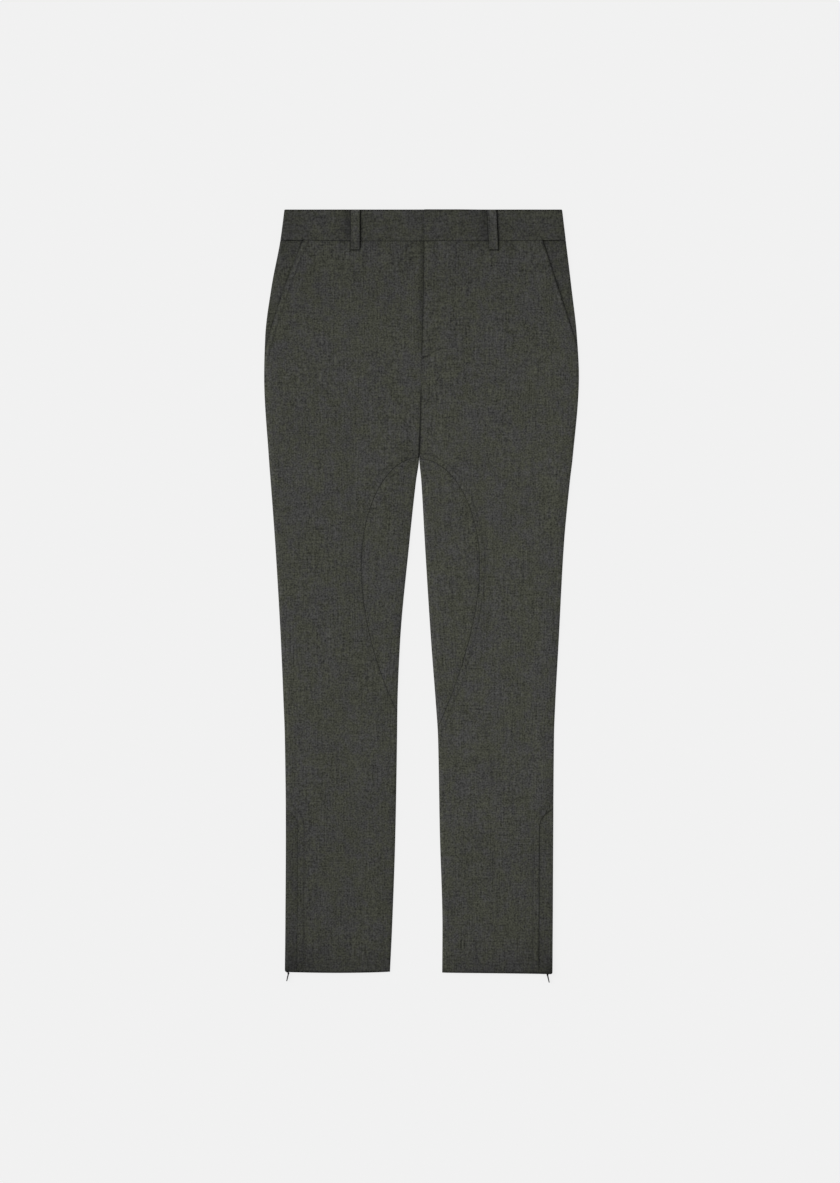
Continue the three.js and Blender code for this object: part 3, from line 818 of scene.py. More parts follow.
        # The painted shadows on top.
        for shadow in self.front_shadows:
            tone = tone * shadow.at(x, drop)
        return tone

    def back_tone(self, x: Array, drop: Array) -> Array:
        """Painted shading of the back against its own colour: painted shade towards the waist and the hem,
        and its painted shadows.
        """
        x, drop = np.broadcast_arrays(np.asarray(x, float), np.asarray(drop, float))
        # Painted shade towards the waist and the hem.
        tone = 1 - 0.04 * fade(drop, 60, 30) - 0.05 * fade(drop, HEM - 45, HEM - 4)
        for shadow in self.back_shadows:
            tone = tone * shadow.at(x, drop)
        return tone


# ---- Meshes -----------------------------------------------------------------------------------------------


def make_mesh(name: str, points: Array, faces: Sequence[Array]) -> bpy.types.Mesh:
    """A smooth-shaded mesh.

    Args:
        name: the mesh's name.
        points: its vertices, in metres.
        faces: arrays of faces, each with one face per row and a fixed number of corners.

    Returns:
        The mesh.
    """
    mesh = bpy.data.meshes.new(name)
    corners = np.concatenate([f.ravel() for f in faces]).astype(np.int32)
    sizes = np.concatenate([np.full(len(f), f.shape[1]) for f in faces]).astype(np.int32)
    mesh.vertices.add(len(points))
    mesh.vertices.foreach_set("co", np.asarray(points, np.float32).ravel())
    mesh.loops.add(len(corners))
    mesh.loops.foreach_set("vertex_index", corners)
    mesh.polygons.add(len(sizes))
    mesh.polygons.foreach_set("loop_start", np.concatenate([[0], np.cumsum(sizes)[:-1]]).astype(np.int32))
    mesh.polygons.foreach_set("use_smooth", np.ones(len(sizes), bool))
    mesh.update(calc_edges=True)
    mesh.validate()
    return mesh


def wall_faces(rows: int, columns: int, first: int = 0) -> list[Array]:
    """Faces of a closed wall whose over side comes first and whose under side matches it, grid for grid."""
    over = first + np.arange(rows * columns).reshape(rows, columns)
    under = over + rows * columns

    def quads(a: Array, b: Array, c: Array, d: Array) -> Array:
        """Faces of four corners each, from matching grids of corners."""
        return np.stack([a.ravel(), b.ravel(), c.ravel(), d.ravel()], axis=1)

    return [
        quads(over[:-1, :-1], over[1:, :-1], over[1:, 1:], over[:-1, 1:]),
        quads(under[:-1, :-1], under[:-1, 1:], under[1:, 1:], under[1:, :-1]),
        quads(under[:-1, 0], under[1:, 0], over[1:, 0], over[:-1, 0]),
        quads(under[:-1, -1], over[:-1, -1], over[1:, -1], under[1:, -1]),
        quads(under[0, :-1], over[0, :-1], over[0, 1:], under[0, 1:]),
        quads(under[-1, :-1], under[-1, 1:], over[-1, 1:], over[-1, :-1]),
    ]


def facing_out(points: Array, faces: Sequence[Array]) -> list[Array]:
    """The faces, turned round where the closed form they make would be inside out."""
    volume = 0.0
    for group in faces:
        for k in range(1, group.shape[1] - 1):
            a, b, c = points[group[:, 0]], points[group[:, k]], points[group[:, k + 1]]
            volume += float(np.einsum("ij,ij->", a, np.cross(b, c)))
    return list(faces) if volume > 0 else [group[:, ::-1] for group in faces]


def add_object(name: str, mesh: bpy.types.Mesh, material: bpy.types.Material) -> bpy.types.Object:
    """A new object at the origin with one material."""
    piece = bpy.data.objects.new(name, mesh)
    bpy.context.scene.collection.objects.link(piece)
    mesh.materials.clear()
    mesh.materials.append(material)
    return piece


def cloth_wall(
    name: str, over: Array, under: Array, material: bpy.types.Material, tone: Array
) -> bpy.types.Object:
    """A closed wall of cloth between two matching grids of points.

    Args:
        name: the piece's name.
        over: points of its upper or outer face, in metres.
        under: points of its other face.
        material: the cloth.
        tone: the painted shading, how far painted shade darkens or painted highlights lighten the cloth at
            each point of the grid, which its material reads.

    Returns:
        The piece.
    """
    points = np.concatenate([over.reshape(-1, 3), under.reshape(-1, 3)])
    mesh = make_mesh(name, points, facing_out(points, wall_faces(*over.shape[:2])))
    # The painted shading goes on the mesh as its tone attribute.
    layer = mesh.attributes.new("tone", "FLOAT", "POINT")
    layer.data.foreach_set("value", np.tile(tone.ravel(), 2).astype(float) ** DISPLAY_GAMMA)
    return add_object(name, mesh, material)


def hand_in(piece: bpy.types.Object, slot: Slot, *nodes: str, body: Body = Body.TROUSERS) -> bpy.types.Object:
    """Puts a finished piece on its body, hides the CAD parts that it stands for, and reports it.

    Args:
        piece: the finished piece.
        slot: not used.
        *nodes: the CAD nodes that it stands for.
        body: the body that it rides on.

    Returns:
        The piece.
    """
    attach(piece, body.value)
    if nodes:
        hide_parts(*nodes)
    LOG.info("%s: %d faces, on %s", piece.name, len(piece.data.polygons), body.value)
    return piece


# ---- Finishes ---------------------------------------------------------------------------------------------


class Bench:
    """Lays out the nodes of one tree."""

    def __init__(self, tree: bpy.types.NodeTree) -> None:
        """Starts with an empty tree."""
        self.tree = tree
        tree.nodes.clear()

    def add(
        self, kind: str, inputs: dict[str | int, object] | None = None, **settings: object
    ) -> bpy.types.Node:
        """A new node.

        Args:
            kind: the node's type name.
            inputs: what goes into its sockets, by name or number: another node's output, or a value.
            **settings: the node's own properties.

        Returns:
            The node.
        """
        node = self.tree.nodes.new(kind)
        for key, value in settings.items():
            setattr(node, key, value)
        for key, value in (inputs or {}).items():
            if isinstance(value, bpy.types.NodeSocket):
                self.tree.links.new(value, node.inputs[key])
            else:
                node.inputs[key].default_value = value
        return node

    def maths(self, operation: str, *values: object) -> bpy.types.NodeSocket:
        """The result of a Math node on sockets or numbers."""
        return self.add("ShaderNodeMath", dict(enumerate(values)), operation=operation).outputs[0]

    def mix(self, share: bpy.types.NodeSocket, a: Colour, b: Colour) -> bpy.types.NodeSocket:
        """The colour between a and b."""
        node = self.add(
            "ShaderNodeMix", {0: share, 6: (*a, 1), 7: (*b, 1)}, data_type="RGBA", clamp_factor=True
        )
        return node.outputs[2]

    def surface(self, **inputs: object) -> None:
        """Ends the tree in one shader; an underscore in an input's name stands for a space."""
        named = {name.replace("_", " "): value for name, value in inputs.items()}
        shader = self.add("ShaderNodeBsdfPrincipled", named)
        self.add("ShaderNodeOutputMaterial", {"Surface": shader.outputs["BSDF"]})


def new_material(name: str) -> tuple[bpy.types.Material, Bench]:
    """An empty node material, and the bench for its tree."""
    material = bpy.data.materials.new(name)
    material.use_nodes = True
    return material, Bench(material.node_tree)


@dataclass(frozen=True)
class Mottle:
    """One unevenness of the cloth: its size across and along in millimetres, its detail and its strength."""

    size: tuple[float, float]
    detail: float
    strength: float
    roughness: float = 0.5


@dataclass(frozen=True)
class Suiting:
    """Melange wool suiting: olive and violet-grey fibres spun together, with fine slubs both ways; each
    piece's painted shading darkens or lightens it.
    """

    olive: Colour = (0.0453, 0.0470, 0.0350)
    violet: Colour = (0.0446, 0.0446, 0.0433)
    long_warp: Mottle = Mottle((1.6, 60.0), 1, 0.66)
    warp: Mottle = Mottle((1.6, 16.0), 1, 0.72)
    weft: Mottle = Mottle((24.0, 1.5), 1, 0.64)
    grain: Mottle = Mottle((2.2, 2.2), 0, 1.5)
    fibre: Mottle = Mottle((0.5, 3.0), 1, 0.6)
    cloud: Mottle = Mottle((42.0, 63.0), 2, 0.13)
    region: Mottle = Mottle((70, 90), 1, 0.3)
    patch: Mottle = Mottle((22.0, 26.0), 3, 1, 0.9)
    patch_range: tuple[float, float] = (0.545, 0.785)
    darkest: float = 0.12
    thread: float = 0.55

    def make(
        self, name: str, shift: tuple[float, float], turn: float = 0, tone: float = 1, slubby: float = 1
    ) -> bpy.types.Material:
        """The cloth for one cut piece.

        Args:
            name: the material's name.
            shift: where on the roll the piece was cut, in millimetres.
            turn: how far its grain is turned from the leg's length, in degrees.
            tone: its brightness against the rest.
            slubby: how strong its slubs are against the rest.

        Returns:
            The material.
        """
        material, bench = new_material(name)
        where = bench.add("ShaderNodeTexCoord").outputs["Object"]
        moved, turned = (shift[0] * MM, shift[1] * MM, 0), (0, 0, math.radians(turn))
        given = {"Vector": where, "Location": moved, "Rotation": turned}
        laid = bench.add("ShaderNodeMapping", given).outputs["Vector"]

        def noise(mottle: Mottle) -> bpy.types.NodeSocket:
            """The strength of one kind of mottle, on the turned and moved cloth."""
            scale = tuple(1 / (size * MM) for size in (*mottle.size, min(mottle.size)))
            spread = bench.add("ShaderNodeMapping", {"Vector": laid, "Scale": scale}).outputs["Vector"]
            given = {"Vector": spread, "Scale": 1.0, "Detail": mottle.detail, "Roughness": mottle.roughness}
            return bench.add("ShaderNodeTexNoise", given).outputs["Fac"]

        kinds = (self.long_warp, self.warp, self.weft, self.grain, self.fibre, self.cloud)
        made = {kind: noise(kind) for kind in kinds}
        slubs = [
            (kind, kind.strength * slubby)
            for kind in (self.warp, self.long_warp, self.weft, self.cloud)
        ]
        slubs += [(kind, kind.strength) for kind in (self.grain, self.fibre)]
        light: bpy.types.NodeSocket | float = 1 - sum(strength for _, strength in slubs) / 2
        for kind, strength in slubs:
            light = bench.maths("MULTIPLY_ADD", made[kind], strength, light)
        light = bench.maths("MAXIMUM", light, self.darkest)
        # Each point's painted shading darkens or lightens the cloth's colour.
        painted_shading_here = bench.add("ShaderNodeAttribute", attribute_name="tone").outputs["Fac"]
        light = bench.maths("MULTIPLY", bench.maths("MULTIPLY", light, painted_shading_here), tone)
        patch = bench.maths("MULTIPLY_ADD", noise(self.region), self.region.strength, noise(self.patch))
        least, most = self.patch_range
        share = bench.add("ShaderNodeMapRange", {"Value": patch, "From Min": least, "From Max": most})
        mixed = bench.mix(share.outputs["Result"], self.olive, self.violet)
        lit = bench.add("ShaderNodeVectorMath", {0: mixed, "Scale": light}, operation="SCALE")
        split = bench.add("ShaderNodeSeparateXYZ", {0: laid})
        rate = math.tau / (self.thread * MM)
        over = bench.maths("SINE", bench.maths("MULTIPLY", split.outputs["X"], rate))
        under = bench.maths("SINE", bench.maths("MULTIPLY", split.outputs["Y"], rate))
        weave = bench.maths("MULTIPLY", over, under)
        height = bench.maths(
            "MULTIPLY_ADD", weave, 0.25, bench.maths("ADD", made[self.grain], made[self.warp])
        )
        bump = bench.add("ShaderNodeBump", {"Height": height, "Strength": 0.35, "Distance": 0.25 * MM})
        bench.surface(
            Base_Color=lit.outputs[0],
            Roughness=0.9,
            Specular_IOR_Level=0.15,
            Sheen_Weight=0.08,
            Sheen_Roughness=0.45,
            Normal=bump.outputs["Normal"],
        )
        return material


@dataclass(frozen=True)
class Thread:
    """Polyester sewing thread, dyed to the cloth, with its twist as fine ribs."""

    dark: Colour = (0.022, 0.023, 0.019)
    light: Colour = (0.040, 0.041, 0.035)
    twist: float = 0.35

    def make(self, name: str) -> bpy.types.Material:
        """The thread's material."""
        material, bench = new_material(name)
        where = bench.add("ShaderNodeTexCoord").outputs["Object"]
        ribs = bench.add(
            "ShaderNodeTexWave",
            {"Vector": where, "Scale": 0.5 / (self.twist * MM), "Distortion": 0.4},
            bands_direction="DIAGONAL",
        ).outputs["Fac"]
        fibre = bench.add("ShaderNodeTexNoise", {"Vector": where, "Scale": 1 / (0.8 * MM), "Detail": 2.0})
        lit = bench.mix(fibre.outputs["Fac"], self.dark, self.light)
        bump = bench.add("ShaderNodeBump", {"Height": ribs, "Strength": 0.3, "Distance": 0.05 * MM})
        normal = bump.outputs["Normal"]
        bench.surface(
            Base_Color=lit, Roughness=0.62, Specular_IOR_Level=0.3, Sheen_Weight=0.15, Normal=normal
        )
        return material


@dataclass(frozen=True)
class ZipTape:
    """Woven polyester zip tape, nearly black, ribbed along its length."""

    dark: Colour = (0.008, 0.008, 0.008)
    light: Colour = (0.021, 0.021, 0.019)
    rib: float = 0.9

    def make(self, name: str) -> bpy.types.Material:
        """The tape's material."""
        material, bench = new_material(name)
        where = bench.add("ShaderNodeTexCoord").outputs["Object"]
        ribs = bench.add(
            "ShaderNodeTexWave", {"Vector": where, "Scale": 0.5 / (self.rib * MM), "Distortion": 0.2}
        ).outputs["Fac"]
        fibre = bench.add("ShaderNodeTexNoise", {"Vector": where, "Scale": 1 / (0.7 * MM), "Detail": 2.0})
        share = bench.maths("MULTIPLY_ADD", fibre.outputs["Fac"], 0.7, bench.maths("MULTIPLY", ribs, 0.3))
        lit = bench.mix(share, self.dark, self.light)
        bump = bench.add("ShaderNodeBump", {"Height": ribs, "Strength": 0.5, "Distance": 0.15 * MM})
        bench.surface(Base_Color=lit, Roughness=0.8, Specular_IOR_Level=0.25, Normal=bump.outputs["Normal"])
        return material


@dataclass(frozen=True)
class Gunmetal:
    """Dark plated metal with faint handling marks, a little brighter where it is rubbed."""

    plated: Colour = (0.014, 0.014, 0.015)
    rubbed: Colour = (0.034, 0.034, 0.033)
    mark: float = 1.2

    def make(self, name: str) -> bpy.types.Material:
        """The metal's material."""
        material, bench = new_material(name)
        where = bench.add("ShaderNodeTexCoord").outputs["Object"]
        marks = bench.add(
            "ShaderNodeTexNoise", {"Vector": where, "Scale": 1 / (self.mark * MM), "Detail": 4.0}
        )
        mixed = bench.mix(marks.outputs["Fac"], self.plated, self.rubbed)
        rough = bench.add(
            "ShaderNodeMapRange", {"Value": marks.outputs["Fac"], "To Min": 0.32, "To Max": 0.5}
        )
        bump = bench.add(
            "ShaderNodeBump", {"Height": marks.outputs["Fac"], "Strength": 0.15, "Distance": 0.05 * MM}
        )
        bench.surface(
            Base_Color=mixed,
            Metallic=0.9,
            Roughness=rough.outputs["Result"],
            Normal=bump.outputs["Normal"],
        )
        return material


# ---- Flat panels ------------------------------------------------------------------------------------------


@dataclass(frozen=True)
class EdgeForm:
    """How a cut edge is finished: over how far it rounds, and how far each face turns towards the other."""

    radius: float
    fall: float
    rise: float


SEAM = EdgeForm(0.6, 0.5, 0.42)
FREE = EdgeForm(0.55, 0.46, 0.46)
PRESSED = EdgeForm(0.4, 0.06, 0.3)
FOLD_FRONT = EdgeForm(1.9, 0.95, 0.0)
FOLD_BACK = EdgeForm(1.9, 0.0, 0.92)
HIDDEN = EdgeForm(0.4, 0.3, 0.3)

Form = Callable[[Array], tuple[Array, Array, Array]]


def forms(*stretches: tuple[float, EdgeForm], blur: float = 4) -> Form:
    """An edge whose finish changes on its way down.

    Args:
        *stretches: where each finish starts, as a drop, and the finish.
        blur: the drop over which one finish turns into the next.

    Returns:
        A function of drop that gives the radius, the fall and the rise.
    """

    def at(drop: Array) -> tuple[Array, Array, Array]:
        """The radius, the fall and the rise at each drop."""
        values = [np.full(np.shape(drop), getattr(stretches[0][1], k)) for k in ("radius", "fall", "rise")]
        for start, form in stretches[1:]:
            share = fade(drop, start - blur / 2, start + blur / 2)
            values = [
                blend(value, getattr(form, k), share)
                for value, k in zip(values, ("radius", "fall", "rise"), strict=True)
            ]
        return values[0], values[1], values[2]

    return at


@dataclass(frozen=True)
class Ridge:
    """The step where turned-in cloth lies under the face, from a seam or edge to its stitches."""

    path: Path
    reach: float
    height: float

    def at(self, x: Array, drop: Array) -> Array:
        """How far the face is raised at each place."""
        return self.height * fade(self.path.distance(x, drop), self.reach + 1.3, self.reach - 0.9)


@dataclass(frozen=True)
class Furrow:
    """The groove that a line of stitches or a seam pulls into the cloth."""

    path: Path
    depth: float
    width: float
    pucker: float = 0.0

    def at(self, x: Array, drop: Array, puckered: Ripple) -> Array:
        """How far the face is lowered at each place, uneven where the stitches draw the cloth in."""
        distance = self.path.distance(x, drop)
        drawn = self.pucker * puckered(x, drop) * bell(distance, 7)
        return self.depth * bell(distance, self.width) - drawn


EDGE_STEPS = (0, 0.1, 0.25, 0.45, 0.75, 1.2, 1.9, 3.0, 4.6)
STITCH_STEPS = (5.8, 6.5, 7.1, 7.7, 8.4, 9.0, 9.7, 11.0)
ROLL_STEPS = (13.5, 17.0, 21.0, 26.0)
HOOK_STEPS = (12.2, 13.5, 14.8, 16.2, 17.6, 19.0, 20.4, 21.8, 23.2, 24.6, 26.0)
HEM_STEPS = (*EDGE_STEPS, 6.5, 8.5, 10.2, 10.9, 11.5, 12.1, 12.9, 14.5)


@dataclass
class Panel:
    """A flat-laid piece of cloth between two seam lines."""

    name: str
    low: Line
    high: Line
    start: float
    end: float
    under: Callable[[Array, Array], Array]
    low_form: Form
    high_form: Form
    low_steps: tuple[float, ...]
    high_steps: tuple[float, ...]
    middle: int
    step: float = 3.0
    marks: tuple[float, ...] = ()
    ridges: tuple[Ridge, ...] = ()
    furrows: tuple[Furrow, ...] = ()
    relief_below: bool = False
    gap: float = SEAM_GAP
    close: tuple[float, ...] = ()
    start_form: EdgeForm = SEAM
    end_form: EdgeForm = FREE
    turn_up: Callable[[Array, Array], Array] | None = None

    def rows(self) -> Array:
        """The drops of the panel's rows: close together at a turned edge, both ends and the stitches."""
        marks = [*(self.start + s for s in EDGE_STEPS), *(self.end - s for s in HEM_STEPS), *self.marks]
        return stations(self.start, self.end, [self.low, self.high], self.step, marks)

    def grid(self) -> tuple[Array, Array]:
        """x and drop of every point of the panel's face.

        Returns:
            Two arrays of rows by columns.
        """
        drops = self.rows()
        above, below = np.clip(drops - 5, self.start, self.end), np.clip(drops + 5, self.start, self.end)
        slope = [(line(below) - line(above)) / (below - above) for line in (self.low, self.high)]
        lean = [np.hypot(1, np.clip(s, -3, 3)) for s in slope]
        gap = [self.gap / 2 * by for by in lean]
        left, right = self.low(drops) + gap[0], self.high(drops) - gap[1]
        right = np.maximum(right, left + 0.02)
        width = right - left
        near, far = np.array(self.low_steps), np.array(self.high_steps)
        share = [
            np.minimum(1, 0.47 * width / (steps[-1] * by))
            for steps, by in zip((near, far), lean, strict=True)
        ]
        low_x = left[:, None] + near * (lean[0] * share[0])[:, None]
        high_x = right[:, None] - far[::-1] * (lean[1] * share[1])[:, None]
        inner = np.linspace(0, 1, self.middle + 2)[1:-1]
        if self.close:
            marks = (np.array(self.close) - low_x[0, -1]) / (high_x[0, 0] - low_x[0, -1])
            inner = np.unique(np.concatenate([inner, marks]))
        mid_x = blend(low_x[:, -1:], high_x[:, :1], inner)
        x = np.concatenate([low_x, mid_x, high_x], axis=1)
        return x, np.repeat(drops[:, None], x.shape[1], axis=1)

    def cut(self) -> tuple[float, float]:
        """Width and length of the rectangle that the panel is cut from, in millimetres."""
        x, drop = self.grid()
        return float(np.ptp(x)), float(np.ptp(drop))

    def faces_of_cloth(self, lay: Lay, x: Array, drop: Array) -> tuple[Array, Array]:
        """Heights of the panel's over and under face.

        Args:
            lay: how the garment lies.
            x: x of the grid.
            drop: drop of the grid.

        Returns:
            The two heights.
        """
        under = self.under(x, drop)
        over = under + CLOTH
        if self.turn_up is not None:
            turned = self.turn_up(x, drop)
            over, under = (over + turned, under) if self.relief_below else (over, under - turned)
        relief = sum((ridge.at(x, drop) for ridge in self.ridges), np.zeros(x.shape))
        relief = relief - sum((f.at(x, drop, lay.puckered) for f in self.furrows), np.zeros(x.shape))
        if self.relief_below:
            under = np.maximum(under - relief, 0)
        else:
            over = over + relief
        fall, rise = np.zeros(x.shape), np.zeros(x.shape)
        drops = drop[:, 0]
        borders = (
            (Path(np.stack([x[:, 0], drops], axis=1)), self.low_form),
            (Path(np.stack([x[:, -1], drops], axis=1)), self.high_form),
        )
        for path, form in borders:
            distance = path.distance(x, drop, 6)
            radius, form_fall, form_rise = form(drop)
            turn = 1 - rolled(distance, radius)
            fall, rise = np.maximum(fall, form_fall * turn), np.maximum(rise, form_rise * turn)
        for distance, form in ((drop - drops[0], self.start_form), (drops[-1] - drop, self.end_form)):
            turn = 1 - rolled(distance, form.radius)
            fall, rise = np.maximum(fall, form.fall * turn), np.maximum(rise, form.rise * turn)
        thick = over - under
        squeeze = np.minimum(1, (thick - 0.04) / np.maximum(fall + rise, 1e-6))
        return over - fall * squeeze, under + rise * squeeze

    def build(self, lay: Lay, material: bpy.types.Material) -> bpy.types.Object:
        """The panel as a closed, thin-walled piece.

        Args:
            lay: how the garment lies.
            material: the cloth.

        Returns:
            The piece.
        """
        x, drop = self.grid()
        over, under = (lay.place(x, drop, z) for z in self.faces_of_cloth(lay, x, drop))
        # Painted shading: the back's for the back panels, the front's for the others.
        tone = (lay.back_tone if self.relief_below else lay.front_tone)(x, drop)
        return cloth_wall(self.name, over, under, material, tone)

    def sew_in(
        self, lay: Lay, material: bpy.types.Material, node: str, rests_on: Sequence[str]
    ) -> bpy.types.Object:
        """The panel built, put on the trousers' body, and its cut rectangle and area logged.

        Args:
            lay: how the garment lies.
            material: the cloth.
            node: the CAD node that it stands for.
            rests_on: what it lies on.

        Returns:
            The piece.
        """
        piece = hand_in(self.build(lay, material), Slot.SUITING, node)
        declare(piece, *self.cut(), rests_on)
        return piece


def face_area(mesh: bpy.types.Mesh) -> float:
    """Area of one face of a thin closed wall, in square metres."""
    areas = np.empty(len(mesh.polygons), np.float32)
    mesh.polygons.foreach_get("area", areas)
    return float(areas.sum()) / 2


def declare(
    piece: bpy.types.Object, width: float, length: float, rests_on: Sequence[str], on_it: Sequence[str] = ()
) -> None:
    """Logs the rectangle that a flat-laid sheet of cloth is cut from, and the sheet's area, at most the
    rectangle's.

    Args:
        piece: the piece.
        width: width of the rectangle, in millimetres.
        length: length of the rectangle.
        rests_on: not used.
        on_it: not used.
    """
    flat = (width * MM, length * MM)
    area = min(face_area(piece.data), flat[0] * flat[1])
    LOG.info("%s: cut %.0f x %.0f mm, %.4f square metres", piece.name, width, length, area)


@dataclass
class Leg:
    """One side of the trousers below the waistband: front, inset, hip piece, ankle strip and back."""

    side: Side
    lay: Lay
    cloth: Suiting = field(default_factory=Suiting)

    @cached_property
    def lines(self) -> SeamLines:
        """This side's seams and lines of stitches."""
        return SeamLines(self.side)

    @property
    def beside_loop(self) -> tuple[float, ...]:
        """Where the front needs close columns: along both edges of its belt loop's foot."""
        foot = self.side.loop_centre + self.side.loop_lean
        return tuple(
            foot + way * (LOOP_WIDTH / 2 + 0.4) + d for way in (-1, 1) for d in (-1.8, -0.9, 0, 0.9, 1.8)
        )

    def panel(self, name: str, inner: Line, outer: Line, edges: tuple[Form, Form], **rest: object) -> Panel:
        """A panel of this side, whose inner and outer line are put in order of x.

        Args:
            name: what it is called, before the side's name.
            inner: the line nearer the middle of the garment.
            outer: the line nearer its side.
            edges: the finish of the inner and of the outer edge.
            **rest: the panel's other fields.

        Returns:
            The panel.
        """
        way = self.side.sign
        (low, high), (low_form, high_form) = (inner, outer)[::way], edges[::way]
        given = {"low": low, "high": high, "low_form": low_form, "high_form": high_form, **rest}
        return Panel(f"{name}_{self.side.name}", **given)

    def turn_up(self, x: Array, drop: Array) -> Array:
        """Thickness of the hem's turned-up cloth, where there is room for it between front and back."""
        room = np.maximum(self.lay.gap(self.side, x, drop) - 0.7, 0) * 0.4
        inside = fade(self.lay.from_side(self.side, x, drop), 17, 24)
        return np.minimum(0.8, room) * inside * fade(HEM - drop, HEM_TURN + 1.5, HEM_TURN - 1.5)

    def centre_dip(self, x: Array, drop: Array) -> Array:
        """The fold that opens between the legs above the crotch."""
        along = fade(drop, 245, CROTCH)
        return 1.5 * along * bell(x - INNER_RIGHT(drop) + 1.0, blend(3, 9, along))

    def front_under(self, x: Array, drop: Array) -> Array:
        """Underside of this side's front."""
        side = self.side
        under = self.lay.front_under(side, x, drop) - (
            self.centre_dip(x, drop) * fade(drop, CROTCH + 30, CROTCH)
        )
        if not side.laps:
            under = under - 0.55 * bell(x - INNER_RIGHT(drop) - 1, 7) * fade(drop, 225, 195)
        return np.maximum(under, self.lay.back_top(drop) + LAYER_GAP)

    def front(self) -> bpy.types.Object:
        """The front panel, from the waist seam to the hem."""
        side = self.side
        outer_form = forms(
            (0, FREE), (side.pocket_end, FOLD_FRONT), (STRIP_TOP - 4, FREE), (STRIP_TOP + 4, SEAM)
        )
        at_fly = FREE if side.laps else HIDDEN
        stretches = (0, at_fly), (FLY_END, PRESSED), (SEAM_OPENS, SEAM), (side.inset_end, FOLD_FRONT)
        inner_form = forms(*stretches, blur=8)
        ridges = (
            Ridge(self.lines.pocket, POCKET_STITCH, 0.30),
            Ridge(self.lines.inset, INSET_STITCH, 0.26),
            Ridge(self.lines.strip, STRIP_STITCH, 0.22),
        )
        furrows = [
            Furrow(self.lines.pocket_stitch, 0.26, 1.1, 0.05),
            Furrow(self.lines.inset_stitch, 0.24, 1.1, 0.06),
            Furrow(self.lines.strip_stitch, 0.22, 1.1, 0.05),
            Furrow(self.lines.hem, 0.24, 1.1, 0.05),
            Furrow(self.lines.inset, 0.25, 2.6),
            Furrow(self.lines.strip, 0.2, 2.4),
        ]
        if side.laps:
            furrows.append(Furrow(self.lines.fly_hook, 0.4, 1.2, 0.05))
        near_top = tuple(
            side.inset_top + d
            for d in (
                *(-9.5, -8.3, -7.6, -7, -6.4, -5.6, -4.4, -3, -2, -1.2, -0.6, -0.25, 0),
                *(0.05, 0.15, 0.35, 0.7, 1.2),
            )
        )
        loop_end = BAND_DEPTH + LOOP_BELOW
        around = [loop_end + d for d in (-5, -4, -3, -2, -1.2, -0.4, 0.4, 1.2, 2, 3)]
        if side.laps:
            around += [186 + 0.9 * k for k in range(20)]
        panel = self.panel(
            "front",
            side.front_inner,
            side.front_outer,
            (inner_form, outer_form),
            start=BAND_DEPTH + SEAM_GAP,
            end=HEM,
            under=self.front_under,
            low_steps=EDGE_STEPS + STITCH_STEPS + (HOOK_STEPS if side.laps else ROLL_STEPS),
            high_steps=EDGE_STEPS + STITCH_STEPS + ROLL_STEPS,
            middle=38,
            marks=(*near_top, *around, side.pocket_end, FLY_END, side.inset_end, STRIP_TOP),
            close=self.beside_loop,
            ridges=ridges,
            furrows=tuple(furrows),
            turn_up=self.turn_up,
        )
        material = self.cloth.make(f"suiting_front_{side.name}", (17 * side.sign, 31), 0.6 * side.sign)
        return panel.sew_in(self.lay, material, f"front_panel_{side.name}", [f"back_{side.name}"])

    def inset_panel(self) -> bpy.types.Object:
        """The inset at the inner thigh."""
        side = self.side
        steps = (*EDGE_STEPS, 6.5, 9.0, 12.0)
        panel = self.panel(
            "inset",
            side.inner,
            side.inset_line,
            (forms((0, FOLD_FRONT)), forms((0, SEAM))),
            start=side.inset_top + 0.04,
            end=side.inset_end - 0.8,
            under=self.front_under,
            low_steps=steps,
            high_steps=steps,
            middle=12,
            marks=tuple(side.inset_top + d for d in (0.08, 0.15, 0.35, 0.7, 1.2)),
            furrows=(Furrow(self.lines.inset, 0.25, 2.6),),
            end_form=SEAM,
        )
        material = self.cloth.make(f"suiting_inset_{side.name}", (113, 57 * side.sign), -4 * side.sign)
        return panel.sew_in(self.lay, material, f"inset_panel_{side.name}", [f"back_{side.name}"])

    def hip_piece(self) -> bpy.types.Object:
        """The pocket facing that shows beside the slant pocket."""
        side = self.side
        panel = self.panel(
            "hip",
            side.hip_inner,
            side.outer,
            (forms((0, HIDDEN)), forms((0, FOLD_FRONT))),
            start=BAND_DEPTH + SEAM_GAP,
            end=side.pocket_end - 0.6,
            under=lambda x, drop: self.lay.facing_under(side, x, drop, POCKET_CLEAR),
            low_steps=EDGE_STEPS,
            high_steps=EDGE_STEPS,
            middle=8,
            end_form=SEAM,
        )
        material = self.cloth.make(f"suiting_hip_{side.name}", (-71, 23 * side.sign), 3 * side.sign, 0.92)
        return panel.sew_in(self.lay, material, f"hip_piece_{side.name}", [f"back_{side.name}"])

    def ankle_strip(self) -> bpy.types.Object:
        """The strip that covers the ankle zip."""
        side = self.side
        panel = self.panel(
            "strip",
            side.strip_line,
            side.outer,
            (forms((0, SEAM)), forms((0, FREE))),
            start=STRIP_TOP + 0.3,
            end=HEM,
            under=self.front_under,
            low_steps=EDGE_STEPS,
            high_steps=EDGE_STEPS,
            middle=5,
            furrows=(Furrow(self.lines.strip, 0.2, 2.4), Furrow(self.lines.hem, 0.24, 1.1, 0.05)),
        )
        material = self.cloth.make(f"suiting_strip_{side.name}", (41, -87 * side.sign), 1.5, 0.96)
        return panel.sew_in(self.lay, material, f"ankle_strip_{side.name}", [f"zip_tape_{side.name}"])

